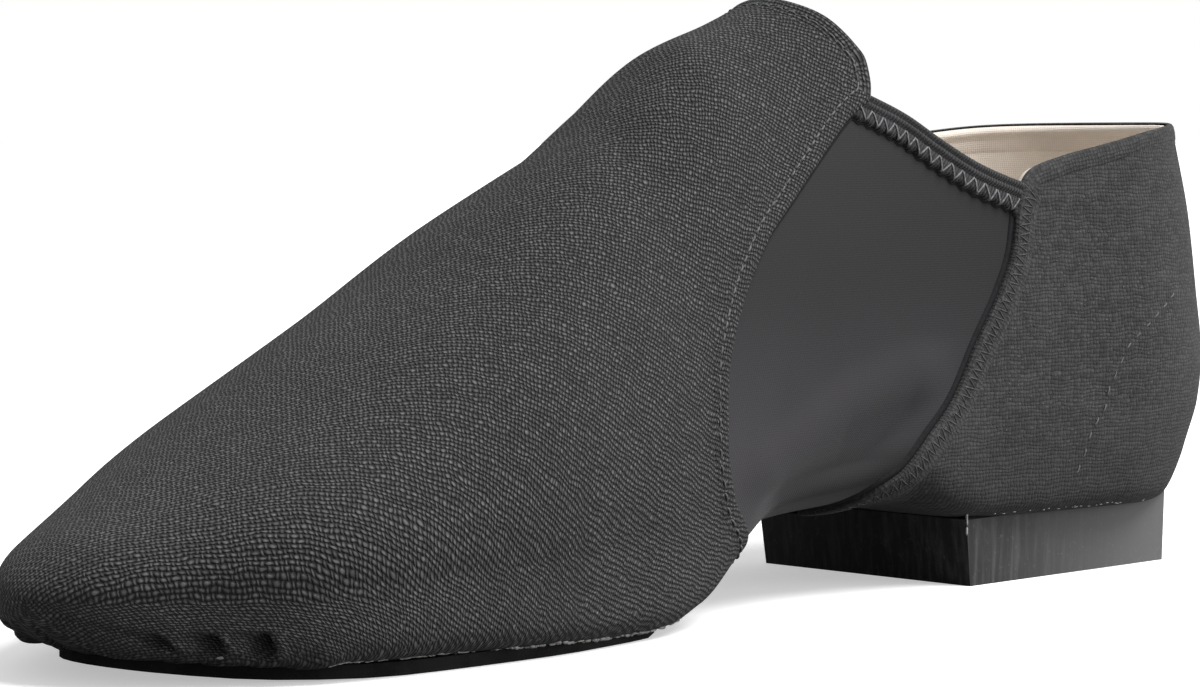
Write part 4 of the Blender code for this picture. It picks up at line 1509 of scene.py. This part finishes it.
def build_seat():
    """Painted shadow: the dark edge between the canvas and the heel block, filling up to the canvas's
    underside.
    """
    heel = solid_node("heel")
    points = np.array([heel.matrix_world @ v.co for v in heel.data.vertices])
    corners = hull_of(points[points[:, 2] > points[:, 2].max() - 0.004][:, :2])
    fine = []
    for a, b in zip(corners, np.roll(corners, -1, axis=0)):
        count = max(int(np.linalg.norm(b - a) / 0.001), 1)
        fine.extend(a + (b - a) * k / count for k in range(count))
    outline = np.array(fine)
    centre = (outline.max(axis=0) + outline.min(axis=0)) / 2
    outline = centre + (outline - centre) * (1 - SEAT_INSET / np.abs(outline - centre).max(axis=0))
    share = np.clip((outline[:, 1] + MIDDLE[1]) / SHOE_LENGTH + 0.5, 0, 1)
    top = on_last(share, np.full(len(share), -math.pi / 2))[:, 2] + SEAT_RISE
    rows = [np.column_stack([outline, high]) for high in (top - SEAT_DEPTH, top)]
    rows.append(np.repeat([[*centre, top.mean()]], len(outline), axis=0))
    rows = np.stack(rows)
    faces = grid_faces(*rows.shape[:2], closed=True)
    outward = rows - [*centre, 0.0]
    piece_from("heel_seat", rows, faces, shadow_material(), rows[..., :2], outward)


SOFT_EDGE = 0.0004


def build_solids():
    """Materials and softened edges of the solids that stay in view."""
    for name, material in (("forefoot_sole", suede_material()), ("heel", rubber_material())):
        node = solid_node(name)
        node.data.materials.clear()
        node.data.materials.append(material)
        edge = node.modifiers.new("edge", "BEVEL")
        edge.width, edge.segments, edge.limit_method = SOFT_EDGE, 2, "ANGLE"


def studio_world():
    """White behind the shoe, and a dimmer even light all round it."""
    world = bpy.data.worlds.new("studio")
    world.use_nodes = True
    w = Wiring(world.node_tree)
    ground = next(node for node in world.node_tree.nodes if node.type == "BACKGROUND")
    seen = w.add("ShaderNodeLightPath").outputs["Is Camera Ray"]
    w.put(ground.inputs["Color"], grey(1.0))
    w.put(ground.inputs["Strength"], w.blend(seen, sizes().even_light, 1.0))
    return world


def direction(turn, height):
    """The way out from the shoe: turned round it from the toe, and raised, both in degrees."""
    turn, height = math.radians(turn), math.radians(height)
    level = math.cos(height)
    return Vector((math.sin(turn) * level, -math.cos(turn) * level, math.sin(height)))


def set_up(name, data, location, away):
    """Puts a light or the camera in the scene, looking back against the way that it stands off."""
    thing = bpy.data.objects.new(name, data)
    thing.location = location
    thing.rotation_euler = away.to_track_quat("Z", "Y").to_euler()
    bpy.context.scene.collection.objects.link(thing)
    return thing


FLOOR_REACH = 60.0
KEY_WAY, KEY_SPREAD = (120, 60), 38
SIDE_PLACE, SIDE_AIM, SIDE_SIZE = Vector((0.62, 0.42, 0.20)), Vector((0.02, 0.09, 0.03)), 0.5
CAMERA_WAY, CAMERA_DISTANCE, CAMERA_LENS = (46.65135, 3.108), 0.622, 112.4
CAMERA_AIM = Vector((-0.0113, 0.0007, 0.0416))


def build_stage():
    scene = bpy.context.scene
    corners = [(x * FLOOR_REACH, y * FLOOR_REACH, 0) for x, y in ((-1, -1), (1, -1), (1, 1), (-1, 1))]
    mesh = bpy.data.meshes.new("floor")
    mesh.from_pydata(corners, [], [(0, 1, 2, 3)])
    mesh.materials.append(floor_material())
    floor = bpy.data.objects.new("floor", mesh)
    scene.collection.objects.link(floor)
    scene.view_settings.view_transform = "Standard"
    scene.world = studio_world()
    key = bpy.data.lights.new("key", "SUN")
    key.energy, key.angle = sizes().key_light, math.radians(KEY_SPREAD)
    toward = direction(*KEY_WAY)
    set_up("key", key, toward * 2, toward)
    side = bpy.data.lights.new("side", "AREA")
    side.energy, side.size = sizes().side_light, SIDE_SIZE
    set_up("side", side, SIDE_PLACE, SIDE_PLACE - SIDE_AIM)
    lens = bpy.data.cameras.new("camera")
    lens.lens, lens.sensor_width = CAMERA_LENS, 36.0
    lens.clip_start, lens.clip_end = 0.05, 200.0
    away = direction(*CAMERA_WAY)
    scene.camera = set_up("camera", lens, CAMERA_AIM + away * CAMERA_DISTANCE, away)


class ShoeVamp(bpy.types.Operator):
    """Canvas over the toe and instep, with its tongue"""

    bl_idname, bl_label = "jazz_shoe.vamp", "Vamp"

    def execute(self, context):
        build_vamp()
        return {"FINISHED"}


class ShoeQuarter(bpy.types.Operator):
    """Canvas round the heel"""

    bl_idname, bl_label = "jazz_shoe.quarter", "Quarter"

    def execute(self, context):
        build_quarter()
        return {"FINISHED"}


class ShoePanels(bpy.types.Operator):
    """Stretch fabric at both sides, joined under the arch"""

    bl_idname, bl_label = "jazz_shoe.panels", "Stretch panels"

    def execute(self, context):
        build_panels()
        return {"FINISHED"}


class ShoeLining(bpy.types.Operator):
    """Cotton lining of the whole inside"""

    bl_idname, bl_label = "jazz_shoe.lining", "Lining"

    def execute(self, context):
        build_lining()
        return {"FINISHED"}


class ShoeHems(bpy.types.Operator):
    """Folded edges of the vamp and the quarter, with their stitches"""

    bl_idname, bl_label = "jazz_shoe.hems", "Hems"

    def execute(self, context):
        build_hems()
        return {"FINISHED"}


class ShoeRims(bpy.types.Operator):
    """Turned top edges of the quarter and its lining"""

    bl_idname, bl_label = "jazz_shoe.rims", "Rims"

    def execute(self, context):
        build_rims()
        return {"FINISHED"}


class ShoeBindings(bpy.types.Operator):
    """Knitted bindings over the stretch panels, with zigzag stitches"""

    bl_idname, bl_label = "jazz_shoe.bindings", "Bindings"

    def execute(self, context):
        build_bindings()
        return {"FINISHED"}


class ShoeCounterStitches(bpy.types.Operator):
    """Faint stitched line of the heel counter on both sides"""

    bl_idname, bl_label = "jazz_shoe.counter_stitches", "Counter stitches"

    def execute(self, context):
        build_counter_stitches()
        return {"FINISHED"}


class ShoeGlue(bpy.types.Operator):
    """Dried glue along the sole and the heel"""

    bl_idname, bl_label = "jazz_shoe.glue", "Dried glue"

    def execute(self, context):
        build_glue()
        return {"FINISHED"}


class ShoeInsole(bpy.types.Operator):
    """Cotton-covered insole"""

    bl_idname, bl_label = "jazz_shoe.insole", "Insole"

    def execute(self, context):
        build_insole()
        return {"FINISHED"}


class ShoeSeat(bpy.types.Operator):
    """Painted shadow: dark edge between the canvas and the heel block"""

    bl_idname, bl_label = "jazz_shoe.seat", "Heel seat"

    def execute(self, context):
        build_seat()
        return {"FINISHED"}


class ShoeSolids(bpy.types.Operator):
    """Suede sole and rubber heel, with softened edges"""

    bl_idname, bl_label = "jazz_shoe.solids", "Sole and heel"

    def execute(self, context):
        build_solids()
        return {"FINISHED"}


class ShoeStage(bpy.types.Operator):
    """Pale floor, soft light and the camera"""

    bl_idname, bl_label = "jazz_shoe.stage", "Stage"

    def execute(self, context):
        build_stage()
        return {"FINISHED"}


OPERATORS = (
    ShoeVamp, ShoeQuarter, ShoePanels, ShoeLining, ShoeHems, ShoeRims, ShoeBindings, ShoeCounterStitches,
    ShoeGlue, ShoeInsole, ShoeSeat, ShoeSolids, ShoeStage,
)


class ShoePanel(bpy.types.Panel):
    """Lists the pieces, the sizes and the colours"""

    bl_idname, bl_label = "VIEW3D_PT_jazz_shoe", "Jazz shoe"
    bl_space_type, bl_region_type, bl_category = "VIEW_3D", "UI", "Jazz shoe"

    def draw(self, context):
        for operator in OPERATORS:
            self.layout.operator(operator.bl_idname)
        for group in (context.scene.shoe_sizes, context.scene.shoe_colours):
            box = self.layout.box()
            for name in group.bl_rna.properties.keys():
                if name not in ("rna_type", "name"):
                    box.prop(group, name)


CLASSES = (ShoeSizes, ShoeColours, *OPERATORS, ShoePanel)


def register():
    for kind in CLASSES:
        bpy.utils.register_class(kind)
    bpy.types.Scene.shoe_sizes = PointerProperty(type=ShoeSizes)
    bpy.types.Scene.shoe_colours = PointerProperty(type=ShoeColours)


def unregister():
    del bpy.types.Scene.shoe_colours
    del bpy.types.Scene.shoe_sizes
    for kind in reversed(CLASSES):
        bpy.utils.unregister_class(kind)


def main():
    register()
    for operator in OPERATORS:
        group, name = operator.bl_idname.split(".")
        getattr(getattr(bpy.ops, group), name)()


if __name__ == "__main__":
    main()
